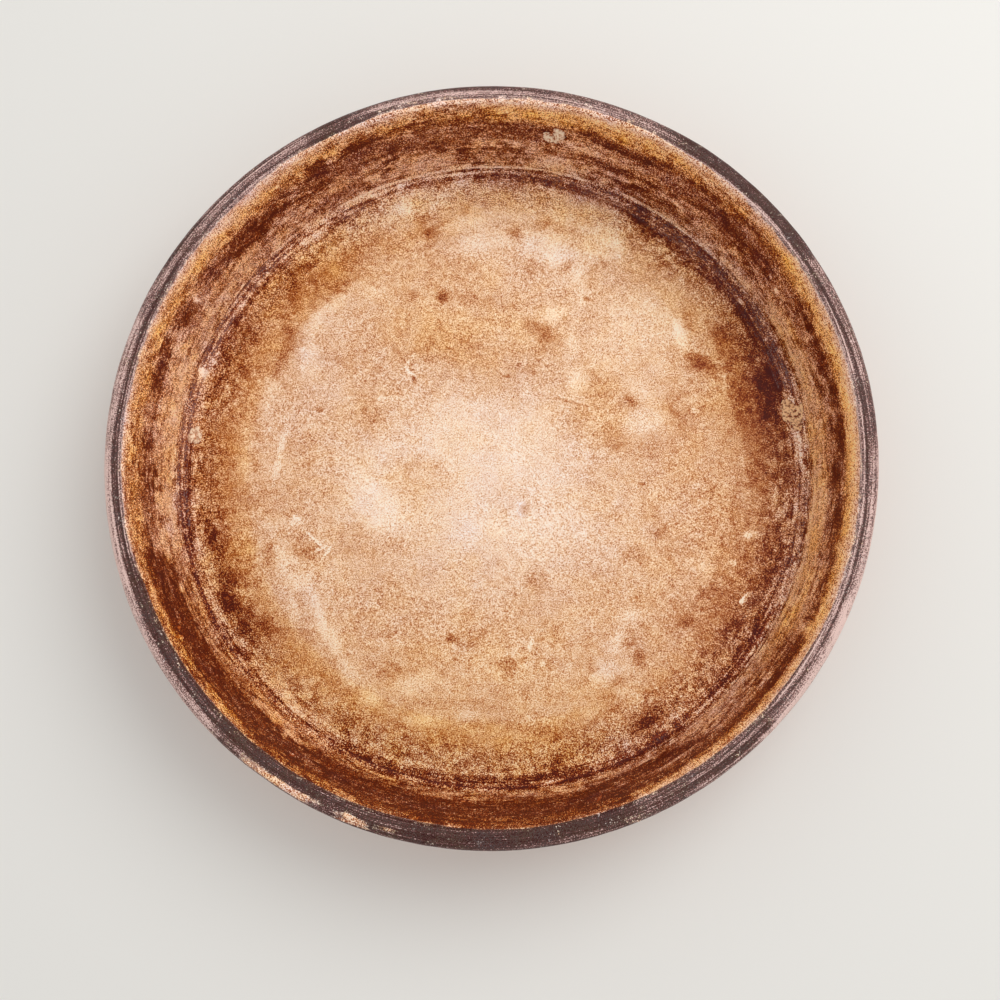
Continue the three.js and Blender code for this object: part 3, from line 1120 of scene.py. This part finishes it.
def new_piece(name, vertices, faces, fields=()):
    """A smooth mesh object from vertices in mm, with a number for each vertex by field name."""
    mesh = bpy.data.meshes.new(name)
    mesh.from_pydata((vertices * MM).tolist(), [], faces)
    for field, values in dict(fields).items():
        layer = mesh.attributes.new(field, "FLOAT", "POINT")
        layer.data.foreach_set("value", np.ascontiguousarray(values, dtype=np.float32))
    mesh.shade_smooth()
    mesh.update()
    piece = bpy.data.objects.new(name, mesh)
    bpy.context.scene.collection.objects.link(piece)
    return piece


# Materials

def add(tree, kind, inputs=(), **settings):
    """Adds a node with its settings, and sets or links its inputs.

    An input that is given a node is linked to that node's first output.
    """
    made = tree.nodes.new(kind)
    for setting, value in settings.items():
        setattr(made, setting, value)
    for key, value in dict(inputs).items():
        source = value.outputs[0] if isinstance(value, bpy.types.Node) else value
        if isinstance(source, bpy.types.NodeSocket):
            tree.links.new(source, made.inputs[key])
        else:
            made.inputs[key].default_value = source
    return made


def new_material(name):
    """An empty material with its tree and its Principled shader."""
    material = bpy.data.materials.new(name)
    material.use_nodes = True
    tree = material.node_tree
    tree.nodes.clear()
    shader = add(tree, "ShaderNodeBsdfPrincipled")
    add(tree, "ShaderNodeOutputMaterial", {"Surface": shader})
    return material, tree, shader


def weighted_sum(tree, start, sources, weights):
    """start plus each named source times its weight, about the noise's middle of one half."""
    total = start
    for name, weight in weights.items():
        offset = add(tree, "ShaderNodeMath", {0: sources[name], 1: 0.5}, operation="SUBTRACT")
        inputs = {0: offset, 1: weight, 2: total}
        total = add(tree, "ShaderNodeMath", inputs, operation="MULTIPLY_ADD")
    return total


def set_stops(ramp, stops):
    """Gives a colour ramp its stops, each a place from 0 to 1 and a linear colour."""
    marks = ramp.color_ramp.elements
    while len(marks) < len(stops):
        marks.new(1.0)
    for mark, (place, tint) in zip(marks, stops):
        mark.position = place
        mark.color = tint


# A stroke is whole inside the first share of its oval's half size and gone outside the second.
# It reaches no more than its depth, in mm, off its surface
STROKE_WHOLE = 0.7
STROKE_GONE = 1.3
STROKE_DEPTH = 3.0


def with_strokes(tree, start, places, strokes):
    """start plus each stroke's amount where the places, in mm, lie inside its oval."""
    total = start
    for stroke in strokes:
        oval = {
            "Vector": places,
            "Location": (stroke.x, stroke.y, 0),
            "Rotation": (0, 0, math.radians(stroke.turn)),
            "Scale": (stroke.half_x, stroke.half_y, STROKE_DEPTH),
        }
        inside = add(tree, "ShaderNodeMapping", oval, vector_type="TEXTURE")
        off = add(tree, "ShaderNodeVectorMath", {0: inside}, operation="LENGTH").outputs["Value"]
        fade = {"Value": off, 1: STROKE_WHOLE, 2: STROKE_GONE, 3: stroke.amount, 4: 0.0}
        part = add(tree, "ShaderNodeMapRange", fade)
        total = add(tree, "ShaderNodeMath", {0: total, 1: part}, operation="ADD")
    return total


PER_METRE = 1000
WALL_RADIUS = 135.0
FLOOR_TOP = 8.0

# Size in mm and detail of the noises: grit and grains of the clay, clumps of grains that fat has
# or hasn't reached, cloudy patches, pores, pale flecks, and places with warmer and colder stains
STONE_NOISES = {
    "grit": (0.45, 1.0),
    "grain": (1.1, 2.0),
    "clump": (4.0, 5.0),
    "patch": (13.0, 3.0),
    "pore": (0.62, 0.0),
    "fleck": (1.7, 2.0),
    "hue": (7.0, 3.0),
}

# Length and height in mm of the noises that run round the dish, long along it and thin across it
ROUND_NOISES = {"streak": (9.0, 2.2), "line": (60.0, 0.42), "ring": (80.0, 1.3)}
ROUND_DETAIL = 4.0

# Clumps, streaks and rings are cut out of their noise by a soft step between two levels
RAGGED = ("clump", "streak", "ring")
RAGGED_LOW = 0.42
RAGGED_HIGH = 0.58

# A reading is taken from a field or a noise. As that goes from the first number to the second,
# the reading goes from the third to the fourth. along is in mm
READINGS = {
    "calm_outside": ("along", 184.0, 196.0, 1.0, 0.4),
    "off_floor": ("along", 98.0, 129.0, 0.0, 1.0),
    "inside_crispness": ("along", 108.0, 131.0, 0.85, 2.15),
    "thin_in_crease": ("along", 131.0, 160.0, 0.32, 1.0),
    "how_varied": ("along", 98.0, 133.0, 0.25, 1.0),
    "stained": ("seasoning", 0.15, 0.5, 0.25, 1.0),
    "stands_out": ("patch", 0.35, 0.65, 0.4, 1.7),
    "pores": ("pore", 0.66, 0.76, 0.0, 0.20),
    "flecks": ("fleck", 0.68, 0.75, 0.0, -0.30),
}

# Weights of the noises in each sum
SUMS = {
    "mottled": {"ragged_clump": 0.10},
    "streaked": {"ragged_streak": 0.09, "line": 0.20},
    "ringed": {"ragged_ring": 0.15},
    "clouded": {"patch": 0.13},
    "film_gaps": {"ragged_clump": 0.30, "ragged_streak": 0.40, "grain": 1.2, "grit": 1.4},
    "varied": {"hue": 6.0, "fleck": 2.0},
    "relief": {"grain": 0.55, "clump": 0.6, "pore": -0.35},
    "lines": {"line": 0.5, "streak": 0.35},
}
FINE_WEIGHTS = {"grit": 1.25, "grain": 0.35}
WEAR_AND_SHEEN_WEIGHTS = {
    "line": 3.0,
    "ragged_streak": 0.24,
    "ragged_clump": 0.10,
    "grain": 0.7,
    "grit": 3.3,
}

# The crease's middle along the section, and how far from it the rings begin and end their
# fading, in mm
CREASE_MIDDLE = 126.3
RINGS_WHOLE = 3.0
RINGS_GONE = 6.0

# Single marks are read up to half this far aside, by noise of this size, both in mm
WAVER = 1.8
WAVER_SIZE = 2.2
WAVER_DETAIL = 2.0

# Colours by darkness, and the film's by how worn it is. The film's pale end is partly a painted
# sheen
CLAY_STOPS = (
    (0.0, "chalk"),
    (0.091, "clay"),
    (0.236, "sand"),
    (0.373, "tan"),
    (0.509, "amber"),
    (0.655, "rust"),
    (0.791, "brown"),
    (0.927, "dark"),
    (1.0, "scorch"),
)
FILM_STOPS = ((0.10, "slate"), (0.50, "mauve_and_sheen"), (0.92, "ash_and_sheen"))

# Warm stains take blue out of the colour and cold ones put it in. Between two distances along
# the section, in mm, the clay turns redder
WARM_TINT = (0.03, 0.0, -0.12)
WARM_LIFT = (0, 0, -0.003)
RUDDY_FROM = 118
RUDDY_TO = 131
RUDDY_TINT = (1.06, 0.95, 0.93)

# The film begins to show at the first level. From the second on it covers all but a trace
FILM_SHOWS = 0.30
FILM_COVERS = 0.66
FILM_MOST = 0.94

# Bare clay scatters light like chalk, and baked-in fat fills its pores
BARE_DARKNESS = 0.1
FILLED_DARKNESS = 0.9
BARE_ROUGHNESS = 0.86
FILLED_ROUGHNESS = 0.50
FILM_ROUGHNESS = 0.50
STONE_SPECULAR = 0.15
CRUST_ROUGHNESS = 0.88

# Depth of the finest relief, in metres
STONE_BUMP = 0.16 * MM
CRUST_BUMP = 0.25 * MM


def stone_sources(tree, places):
    """By name: the mesh's fields, the noises, the readings taken from them, and the sums."""
    at = {
        name: add(tree, "ShaderNodeAttribute", attribute_name=name).outputs["Fac"]
        for name in FIELD_NAMES
    }
    for name, (size, detail) in STONE_NOISES.items():
        grain = {"Vector": places, "Scale": PER_METRE / size, "Detail": detail}
        at[name] = add(tree, "ShaderNodeTexNoise", grain).outputs["Fac"]
    level = add(tree, "ShaderNodeVectorMath", {0: places, 1: (1, 1, 0)}, operation="MULTIPLY")
    outwards = add(tree, "ShaderNodeVectorMath", {0: level}, operation="NORMALIZE")
    up_the_section = add(tree, "ShaderNodeCombineXYZ", {"Z": at["along"]})
    for name, (long, thin) in ROUND_NOISES.items():
        turning = {0: outwards, "Scale": WALL_RADIUS / long}
        round_the_dish = add(tree, "ShaderNodeVectorMath", turning, operation="SCALE")
        across = {0: up_the_section, 1: (0, 0, 1 / thin), 2: round_the_dish}
        stretched = add(tree, "ShaderNodeVectorMath", across, operation="MULTIPLY_ADD")
        grain = {"Vector": stretched, "Scale": 1.0, "Detail": ROUND_DETAIL}
        at[name] = add(tree, "ShaderNodeTexNoise", grain).outputs["Fac"]
    for name, (source, low, high, at_low, at_high) in READINGS.items():
        between = {"Value": at[source], 1: low, 2: high, 3: at_low, 4: at_high}
        at[name] = add(tree, "ShaderNodeMapRange", between)
    for name in RAGGED:
        edges = {"Value": at[name], 1: RAGGED_LOW, 2: RAGGED_HIGH}
        ragged = add(tree, "ShaderNodeMapRange", edges, interpolation_type="SMOOTHSTEP")
        at["ragged_" + name] = ragged
    for name, weights in SUMS.items():
        at[name] = weighted_sum(tree, 0.0, at, weights)
    on_wall = {0: at["off_floor"], 1: at["calm_outside"]}
    at["on_wall"] = add(tree, "ShaderNodeMath", on_wall, operation="MULTIPLY")
    return at


def mottled_clay(tree, at):
    """How dark the clay is before its single marks: its seasoning, broken up by the noises.

    Clumps and streaks stand out in some places more than in others. Stains are crisp where the
    clay is half stained and quiet where it is worn clean.
    """
    streaks = {0: at["streaked"], 1: at["on_wall"], 2: at["mottled"]}
    marked = add(tree, "ShaderNodeMath", streaks, operation="MULTIPLY_ADD")
    beside = {0: at["along"], 1: CREASE_MIDDLE}
    off_crease = add(tree, "ShaderNodeMath", beside, operation="SUBTRACT")
    from_crease = add(tree, "ShaderNodeMath", {0: off_crease}, operation="ABSOLUTE")
    near_crease = {"Value": from_crease, 1: RINGS_WHOLE, 2: RINGS_GONE, 3: 1.0, 4: 0.0}
    in_crease = add(tree, "ShaderNodeMapRange", near_crease)
    rings = {0: at["ringed"], 1: in_crease, 2: at["clouded"]}
    ringed = add(tree, "ShaderNodeMath", rings, operation="MULTIPLY_ADD")
    rough = {0: marked, 1: at["stands_out"], 2: ringed}
    rough_part = add(tree, "ShaderNodeMath", rough, operation="MULTIPLY_ADD")
    quiet = {0: rough_part, 1: at["stained"]}
    quietened = add(tree, "ShaderNodeMath", quiet, operation="MULTIPLY")
    fine_part = weighted_sum(tree, quietened, at, FINE_WEIGHTS)
    crisp = {0: at["inside_crispness"], 1: at["calm_outside"]}
    crispness = add(tree, "ShaderNodeMath", crisp, operation="MULTIPLY")
    breaking = {0: fine_part, 1: crispness, 2: at["seasoning"]}
    broken = add(tree, "ShaderNodeMath", breaking, operation="MULTIPLY_ADD")
    stepped = {"Value": broken}
    softened = add(tree, "ShaderNodeMapRange", stepped, interpolation_type="SMOOTHSTEP")
    specked = add(tree, "ShaderNodeMath", {0: softened, 1: at["pores"]}, operation="ADD")
    flecks = {0: at["flecks"], 1: at["on_wall"], 2: specked}
    return add(tree, "ShaderNodeMath", flecks, operation="MULTIPLY_ADD")


def with_single_marks(tree, start, places, along):
    """start plus the single marks, on places a little disturbed so that their edges are uneven."""
    grain = {"Vector": places, "Scale": PER_METRE / WAVER_SIZE, "Detail": WAVER_DETAIL}
    waver = add(tree, "ShaderNodeTexNoise", grain).outputs["Color"]
    aside = {0: waver, 1: (WAVER, WAVER, 0), 2: (-WAVER / 2, -WAVER / 2, 0)}
    wavering = add(tree, "ShaderNodeVectorMath", aside, operation="MULTIPLY_ADD")
    in_mm = {0: places, 1: (PER_METRE, PER_METRE, PER_METRE), 2: wavering}
    floor_places = add(tree, "ShaderNodeVectorMath", in_mm, operation="MULTIPLY_ADD")
    onto_floor = {0: floor_places, 1: (0, 0, -FLOOR_TOP)}
    over_floor = add(tree, "ShaderNodeVectorMath", onto_floor, operation="ADD")
    apart = add(tree, "ShaderNodeSeparateXYZ", {0: places}).outputs
    turned = add(tree, "ShaderNodeMath", {0: apart["Y"], 1: apart["X"]}, operation="ARCTAN2")
    round_dish = add(tree, "ShaderNodeMath", {0: turned, 1: WALL_RADIUS}, operation="MULTIPLY")
    unrolled = add(tree, "ShaderNodeCombineXYZ", {"X": round_dish, "Y": along})
    wall_places = add(tree, "ShaderNodeVectorMath", {0: unrolled, 1: wavering}, operation="ADD")
    marked_floor = with_strokes(tree, start, over_floor, FLOOR_STROKES)
    on_unrolled = [
        stroke._replace(x=math.radians(turned_apart(stroke.x, 0)) * WALL_RADIUS)
        for stroke in WALL_STROKES
    ]
    return with_strokes(tree, marked_floor, wall_places, on_unrolled)


def warmed_clay(tree, at, clay_colour):
    """The clay's colour with its stains' warmth, redder on the wall than on the floor."""
    warm = {0: at["varied"], 1: at["how_varied"], 2: at["warmth"]}
    warmth = add(tree, "ShaderNodeMath", warm, operation="MULTIPLY_ADD")
    warming = {0: warmth, 1: WARM_TINT, 2: (1, 1, 1)}
    tint = add(tree, "ShaderNodeVectorMath", warming, operation="MULTIPLY_ADD")
    reddening = {
        "Vector": at["along"],
        7: (RUDDY_FROM, RUDDY_FROM, RUDDY_FROM),
        8: (RUDDY_TO, RUDDY_TO, RUDDY_TO),
        9: (1.0, 1.0, 1.0),
        10: RUDDY_TINT,
    }
    ruddy = add(tree, "ShaderNodeMapRange", reddening, data_type="FLOAT_VECTOR").outputs[1]
    turned_tint = add(tree, "ShaderNodeVectorMath", {0: tint, 1: ruddy}, operation="MULTIPLY")
    lift = add(tree, "ShaderNodeVectorMath", {0: warmth, 1: WARM_LIFT}, operation="MULTIPLY")
    tinting = {0: clay_colour, 1: turned_tint, 2: lift}
    return add(tree, "ShaderNodeVectorMath", tinting, operation="MULTIPLY_ADD")


def seasoned_stoneware(colours):
    """Pressed, unglazed stoneware with years of fat baked into it.

    The clay is grainy and matt, with small pores. Fat soaks in unevenly, so each stain is broken
    up grain by grain, and it turns the clay satin as it darkens. On the lip and in the crease a
    thicker film has burnt purple-grey, with fine rubbed lines that run round the dish. In the
    crease its purple-grey is partly a painted reflection, and its pale pink-grey on the right of
    the lip and in the crease is partly a painted sheen.
    """
    material, tree, shader = new_material("seasoned_stoneware")
    places = add(tree, "ShaderNodeTexCoord").outputs["Object"]
    at = stone_sources(tree, places)
    darkness = with_single_marks(tree, mottled_clay(tree, at), places, at["along"])
    clay_colour = add(tree, "ShaderNodeValToRGB", {"Fac": darkness})
    set_stops(clay_colour, [(place, getattr(colours, name)) for place, name in CLAY_STOPS])

    # The film of burnt fat. Its purple-grey in the crease is partly a painted reflection, and its
    # pale pink-grey on the right of the lip and in the crease partly a painted sheen
    film = {0: at["film_gaps"], 1: at["film"], 2: at["film"]}
    film_and_sheen_level = add(tree, "ShaderNodeMath", film, operation="MULTIPLY_ADD")
    seen = {"Value": film_and_sheen_level, 1: FILM_SHOWS, 2: FILM_COVERS, 4: FILM_MOST}
    film_and_sheen_seen = add(tree, "ShaderNodeMapRange", seen)
    covering = {0: film_and_sheen_seen, 1: at["thin_in_crease"]}
    film_and_sheen_cover = add(tree, "ShaderNodeMath", covering, operation="MULTIPLY")
    # How pale the film is: rubbed wear, and on the right of the lip and in the crease a painted
    # sheen too
    wear_and_sheen_level = weighted_sum(tree, at["worn"], at, WEAR_AND_SHEEN_WEIGHTS)
    film_and_sheen_colour = add(tree, "ShaderNodeValToRGB", {"Fac": wear_and_sheen_level})
    set_stops(film_and_sheen_colour, [(place, getattr(colours, name)) for place, name in FILM_STOPS])
    layers = {"Factor": film_and_sheen_cover, 6: warmed_clay(tree, at, clay_colour), 7: film_and_sheen_colour}
    whole = add(tree, "ShaderNodeMix", layers, data_type="RGBA").outputs[2]
    tree.links.new(whole, shader.inputs["Base Color"])

    dulling = {
        "Value": darkness,
        1: BARE_DARKNESS,
        2: FILLED_DARKNESS,
        3: BARE_ROUGHNESS,
        4: FILLED_ROUGHNESS,
    }
    dull = add(tree, "ShaderNodeMapRange", dulling)
    glossy = {"Factor": film_and_sheen_cover, 2: dull, 3: FILM_ROUGHNESS}
    gloss = add(tree, "ShaderNodeMix", glossy, data_type="FLOAT")
    tree.links.new(gloss.outputs[0], shader.inputs["Roughness"])
    shader.inputs["Specular IOR Level"].default_value = STONE_SPECULAR
    uneven = {0: at["lines"], 1: at["on_wall"], 2: at["relief"]}
    height = add(tree, "ShaderNodeMath", uneven, operation="MULTIPLY_ADD")
    bumps = {"Height": height, "Strength": 0.8, "Distance": STONE_BUMP}
    bump = add(tree, "ShaderNodeBump", bumps)
    tree.links.new(bump.outputs[0], shader.inputs["Normal"])
    return material


def baked_crust(name, base, browned_and_shaded, bareness):
    """Hard, dry, baked-on crust: crumbly and matt, pale where it broke, and browner and darker in
    its pits and low places, which is partly painted shade.
    """
    material, tree, shader = new_material(name)
    places = add(tree, "ShaderNodeTexCoord").outputs["Object"]
    crumbly = {"Vector": places, "Scale": PER_METRE / 1.1, "Detail": 4.0}
    pitted = {"Vector": places, "Scale": PER_METRE / 0.8}
    at = {
        "crumbs": add(tree, "ShaderNodeTexNoise", crumbly).outputs["Fac"],
        "pits": add(tree, "ShaderNodeTexVoronoi", pitted).outputs["Distance"],
    }
    # A low level gives the browned colour and the bump's hollows alike, so the darkening in the
    # hollows is partly painted shade
    level = weighted_sum(tree, bareness, at, {"crumbs": 4.2, "pits": -0.5})
    tint = add(tree, "ShaderNodeValToRGB", {"Fac": level})
    set_stops(tint, ((0.0, browned_and_shaded), (0.62, base)))
    tree.links.new(tint.outputs[0], shader.inputs["Base Color"])
    shader.inputs["Roughness"].default_value = CRUST_ROUGHNESS
    bumps = {"Height": level, "Strength": 0.7, "Distance": CRUST_BUMP}
    bump = add(tree, "ShaderNodeBump", bumps)
    tree.links.new(bump.outputs[0], shader.inputs["Normal"])
    return material


# Building the pieces

def dish_grid(sizes):
    """The section and, for each point of the mesh, its bearing, its distance and its place."""
    section = dish_section(sizes)
    bearing = np.linspace(0, 2 * math.pi, sizes.columns, endpoint=False)[:, None]
    bearing = np.broadcast_to(bearing, (sizes.columns, len(section.along)))
    along = np.broadcast_to(section.along, bearing.shape)
    across = section.radius * np.cos(bearing)
    away = section.radius * np.sin(bearing)
    up = np.broadcast_to(section.height, bearing.shape)
    return section, bearing, along, np.stack([across, away, up], axis=-1)


def build_dish(sizes, colours):
    """The dish: its section carried round the axis, with its relief, fields and material."""
    section, bearing, along, points = dish_grid(sizes)
    degrees = np.degrees(bearing)
    relief = surface_relief(points, degrees, along, section.marks)
    radius = section.radius + relief * section.across_r
    height = section.height + relief * section.across_z
    rings = np.stack([radius * np.cos(bearing), radius * np.sin(bearing), height], axis=-1)
    floor_pole = (0, 0, height[:, 0].mean())
    foot_pole = (0, 0, height[:, -1].mean())
    vertices, faces = closed_skin(rings, floor_pole, foot_pole)
    values = (*stain_fields(points, degrees, along), along)
    fields = {
        name: np.concatenate([field.ravel(), [field[:, 0].mean(), field[:, -1].mean()]])
        for name, field in zip(FIELD_NAMES, values)
    }
    dish = new_piece("dish", vertices, faces, fields)
    dish.data.materials.append(seasoned_stoneware(colours))
    return dish


# A crust's node, and its bearing in degrees and distance up from the floor's edge in mm. Its
# crumbs are ovals beside that point: how far round the dish and up the section, half sizes and
# turn, and thickness
Crust = namedtuple("Crust", "node bearing height seed crumbs")
Crumb = namedtuple("Crumb", "side up half_side half_up turn thickness")

CRUSTS = (
    Crust(
        "upper_wall_crust",
        79.1,
        28.3,
        5,
        rows_of(
            Crumb,
            (-2.3, 1.2, 2.3, 3.1, 10, 1.8),
            (1.9, -1.7, 2.7, 2.1, 15, 1.6),
            (-0.9, -2.6, 1.5, 1.2, 30, 1.2),
            (-0.8, 3.9, 1.2, 1.0, 0, 1.0),
            (3.2, 0.9, 1.3, 0.6, -20, 0.7),
        ),
    ),
    Crust(
        "left_crease_crust",
        173.1,
        -2.6,
        6,
        rows_of(
            Crumb,
            (0.4, 1.4, 3.6, 1.5, 8, 0.9),
            (0.2, -1.5, 2.7, 1.2, -6, 1.3),
            (-2.6, -0.2, 1.3, 1.1, 0, 1.1),
            (2.9, -0.6, 1.1, 1.0, 0, 1.0),
        ),
    ),
    Crust(
        "right_crease_crust",
        10.2,
        -0.4,
        7,
        rows_of(
            Crumb,
            (3.9, -1.7, 3.2, 2.9, 20, 0.9),
            (0.2, 0.2, 4.0, 3.9, 0, 0.9),
            (-4.2, 0.1, 2.8, 2.4, -20, 0.8),
            (0.5, -3.3, 3.0, 1.5, 5, 0.7),
            (2.0, 3.9, 2.6, 0.9, 10, 0.7),
        ),
    ),
)
CRUST_SINK = 0.3


def crumb_rings(crust, crumb, section):
    """Rings of points over a crumb's top from its middle to its edge, and back under it.

    At a share s of the way to the edge the top is thickness * sqrt(1 - s^2) high, roughened by
    noise, and the oval's edge is ragged. The underside lies a little inside the dish's surface,
    so that no light shows beneath.
    """
    rings = 14
    spokes = 56
    out = np.sin(np.linspace(0.06, 0.5, rings) * math.pi)
    shares = np.concatenate([out, out[-2::-2]])[None, :]
    on_top = (np.arange(shares.shape[1]) < rings)[None, :]
    spoke = -np.linspace(0, 2 * math.pi, spokes, endpoint=False)[:, None]
    seed = crust.seed + crumb.side + 3 * crumb.up
    flat = np.stack(np.broadcast_arrays(np.cos(spoke), np.sin(spoke), seed), axis=-1)
    oval = 1 + 0.20 * clouds(flat * 4.0, 1.0, crust.seed)
    across = shares * oval * np.cos(spoke) * crumb.half_side
    up = shares * oval * np.sin(spoke) * crumb.half_up
    turn = math.radians(crumb.turn)
    sideways = crumb.side + across * math.cos(turn) - up * math.sin(turn)
    upwards = crumb.up + across * math.sin(turn) + up * math.cos(turn)
    places = np.stack(np.broadcast_arrays(sideways, upwards, seed), axis=-1)
    rough = 1 + 0.40 * clouds(places, 1.5, crust.seed) + 0.20 * clouds(places, 0.6, crust.seed)
    swell = crumb.thickness * np.sqrt(np.clip(1 - shares**2, 0, 1)) * np.clip(rough, 0.4, 1.2)
    lift = np.where(on_top, swell, -0.1) - CRUST_SINK * shares
    along = section.marks["floor_edge"] + crust.height + upwards
    radius = np.interp(along, section.along, section.radius)
    height = np.interp(along, section.along, section.height)
    radius_lifted = radius + lift * np.interp(along, section.along, section.across_r)
    height_lifted = height + lift * np.interp(along, section.along, section.across_z)
    bearing = math.radians(crust.bearing) + sideways / radius
    return np.stack(
        [radius_lifted * np.cos(bearing), radius_lifted * np.sin(bearing), height_lifted], axis=-1
    )


def build_crust(crust, section, material):
    """One crust of several crumbs, each closed at the middle of its top and underside."""
    vertices = np.zeros((0, 3))
    faces = []
    for crumb in crust.crumbs:
        rings = crumb_rings(crust, crumb, section)
        top_pole = rings[:, 0].mean(axis=0)
        under_pole = rings[:, -1].mean(axis=0)
        skin, skin_faces = closed_skin(rings, top_pole, under_pole)
        faces += [[index + len(vertices) for index in face] for face in skin_faces]
        vertices = np.concatenate([vertices, skin])
    piece = new_piece(crust.node.replace("_crust", "_crust_lump"), vertices, faces)
    piece.data.materials.append(material)
    return piece


class MakeDish(bpy.types.Operator):
    """Makes the stoneware dish in place of its plain solid"""

    bl_idname = "baking_stone.make_dish"
    bl_label = "Make the dish"

    def execute(self, context):
        scene = context.scene
        dish = build_dish(scene.dish_sizes, scene.stone_colours)
        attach(dish, "root")
        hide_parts("stoneware_dish")
        return {"FINISHED"}


class MakeCrusts(bpy.types.Operator):
    """Makes the three lumps of baked-on crust in place of their plain solids"""

    bl_idname = "baking_stone.make_crusts"
    bl_label = "Make the baked-on crusts"

    def execute(self, context):
        scene = context.scene
        colours = scene.stone_colours
        section = dish_section(scene.dish_sizes)
        pale = baked_crust("pale_crust", colours.pale_crust, colours.amber, 0.60)
        brown = baked_crust("brown_crust", colours.brown_crust, colours.brown, 0.48)
        for crust in CRUSTS:
            is_brown = crust.node == "right_crease_crust"
            piece = build_crust(crust, section, brown if is_brown else pale)
            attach(piece, "root")
            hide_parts(crust.node)
        return {"FINISHED"}


def stage_floor(colours):
    """A wide, plain, pale floor."""
    half = 3000.0
    corners = np.array([(-half, -half, 0), (half, -half, 0), (half, half, 0), (-half, half, 0)])
    floor = new_piece("stage_floor", corners, [(0, 1, 2, 3)])
    material, tree, shader = new_material("painted_stage_floor")
    shader.inputs["Base Color"].default_value = colours.floor
    shader.inputs["Roughness"].default_value = 0.9
    floor.data.materials.append(material)


def stage_light(stage):
    """Even, pale light from all round, and one large soft lamp up at the back right."""
    world = bpy.data.worlds.new("stage_light")
    bpy.context.scene.world = world
    world.use_nodes = True
    tree = world.node_tree
    tree.nodes.clear()
    shine = {"Color": linear("#FFFFFF"), "Strength": stage.world}
    light = add(tree, "ShaderNodeBackground", shine)
    add(tree, "ShaderNodeOutputWorld", {"Surface": light})

    lamp = bpy.data.lights.new("soft_lamp", "AREA")
    lamp.shape = "DISK"
    lamp.size = 0.9
    lamp.energy = stage.lamp
    holder = bpy.data.objects.new("soft_lamp", lamp)
    holder.location = (0.55, 0.50, 0.95)
    holder.rotation_euler = (-holder.location).to_track_quat("-Z", "Y").to_euler()
    bpy.context.scene.collection.objects.link(holder)


def stage_camera(stage):
    """The camera at the photograph's place, nearly straight above the dish."""
    camera = bpy.data.cameras.new("camera")
    camera.lens = stage.camera_lens
    camera.sensor_width = 36
    camera.clip_start = 0.01
    camera.clip_end = 20
    holder = bpy.data.objects.new("camera", camera)
    holder.location = (stage.camera_side, stage.camera_front, stage.camera_height)
    holder.rotation_euler = Euler((stage.camera_tilt, stage.camera_roll, 0))
    bpy.context.scene.collection.objects.link(holder)
    bpy.context.scene.camera = holder


class SetStage(bpy.types.Operator):
    """Sets the pale floor, the soft light and the camera"""

    bl_idname = "baking_stone.set_stage"
    bl_label = "Set the stage"

    def execute(self, context):
        scene = context.scene
        stage_floor(scene.stone_colours)
        stage_light(scene.stage_settings)
        stage_camera(scene.stage_settings)
        scene.view_settings.view_transform = "Standard"
        return {"FINISHED"}


class BakingStonePanel(bpy.types.Panel):
    """Lists the steps that make the baking stone"""

    bl_idname = "VIEW3D_PT_baking_stone"
    bl_label = "Baking stone"
    bl_space_type = "VIEW_3D"
    bl_region_type = "UI"
    bl_category = "Baking stone"

    def draw(self, context):
        column = self.layout.column(align=True)
        column.operator(MakeDish.bl_idname)
        column.operator(MakeCrusts.bl_idname)
        column.operator(SetStage.bl_idname)
        for group in ("dish_sizes", "stone_colours", "stage_settings"):
            settings = getattr(context.scene, group)
            for name in settings.__annotations__:
                self.layout.prop(settings, name)


GROUPS = {
    "dish_sizes": DishSizes,
    "stone_colours": StoneColours,
    "stage_settings": StageSettings,
}
CLASSES = (*GROUPS.values(), MakeDish, MakeCrusts, SetStage, BakingStonePanel)


def register():
    """Registers the classes and gives each scene its settings."""
    for one in CLASSES:
        bpy.utils.register_class(one)
    for name, group in GROUPS.items():
        setattr(bpy.types.Scene, name, bpy.props.PointerProperty(type=group))


def unregister():
    """Takes the settings and the classes away again."""
    for name in GROUPS:
        delattr(bpy.types.Scene, name)
    for one in reversed(CLASSES):
        bpy.utils.unregister_class(one)


def main():
    """Makes every piece and the stage."""
    register()
    bpy.ops.baking_stone.make_dish()
    bpy.ops.baking_stone.make_crusts()
    bpy.ops.baking_stone.set_stage()


if __name__ == "__main__":
    main()
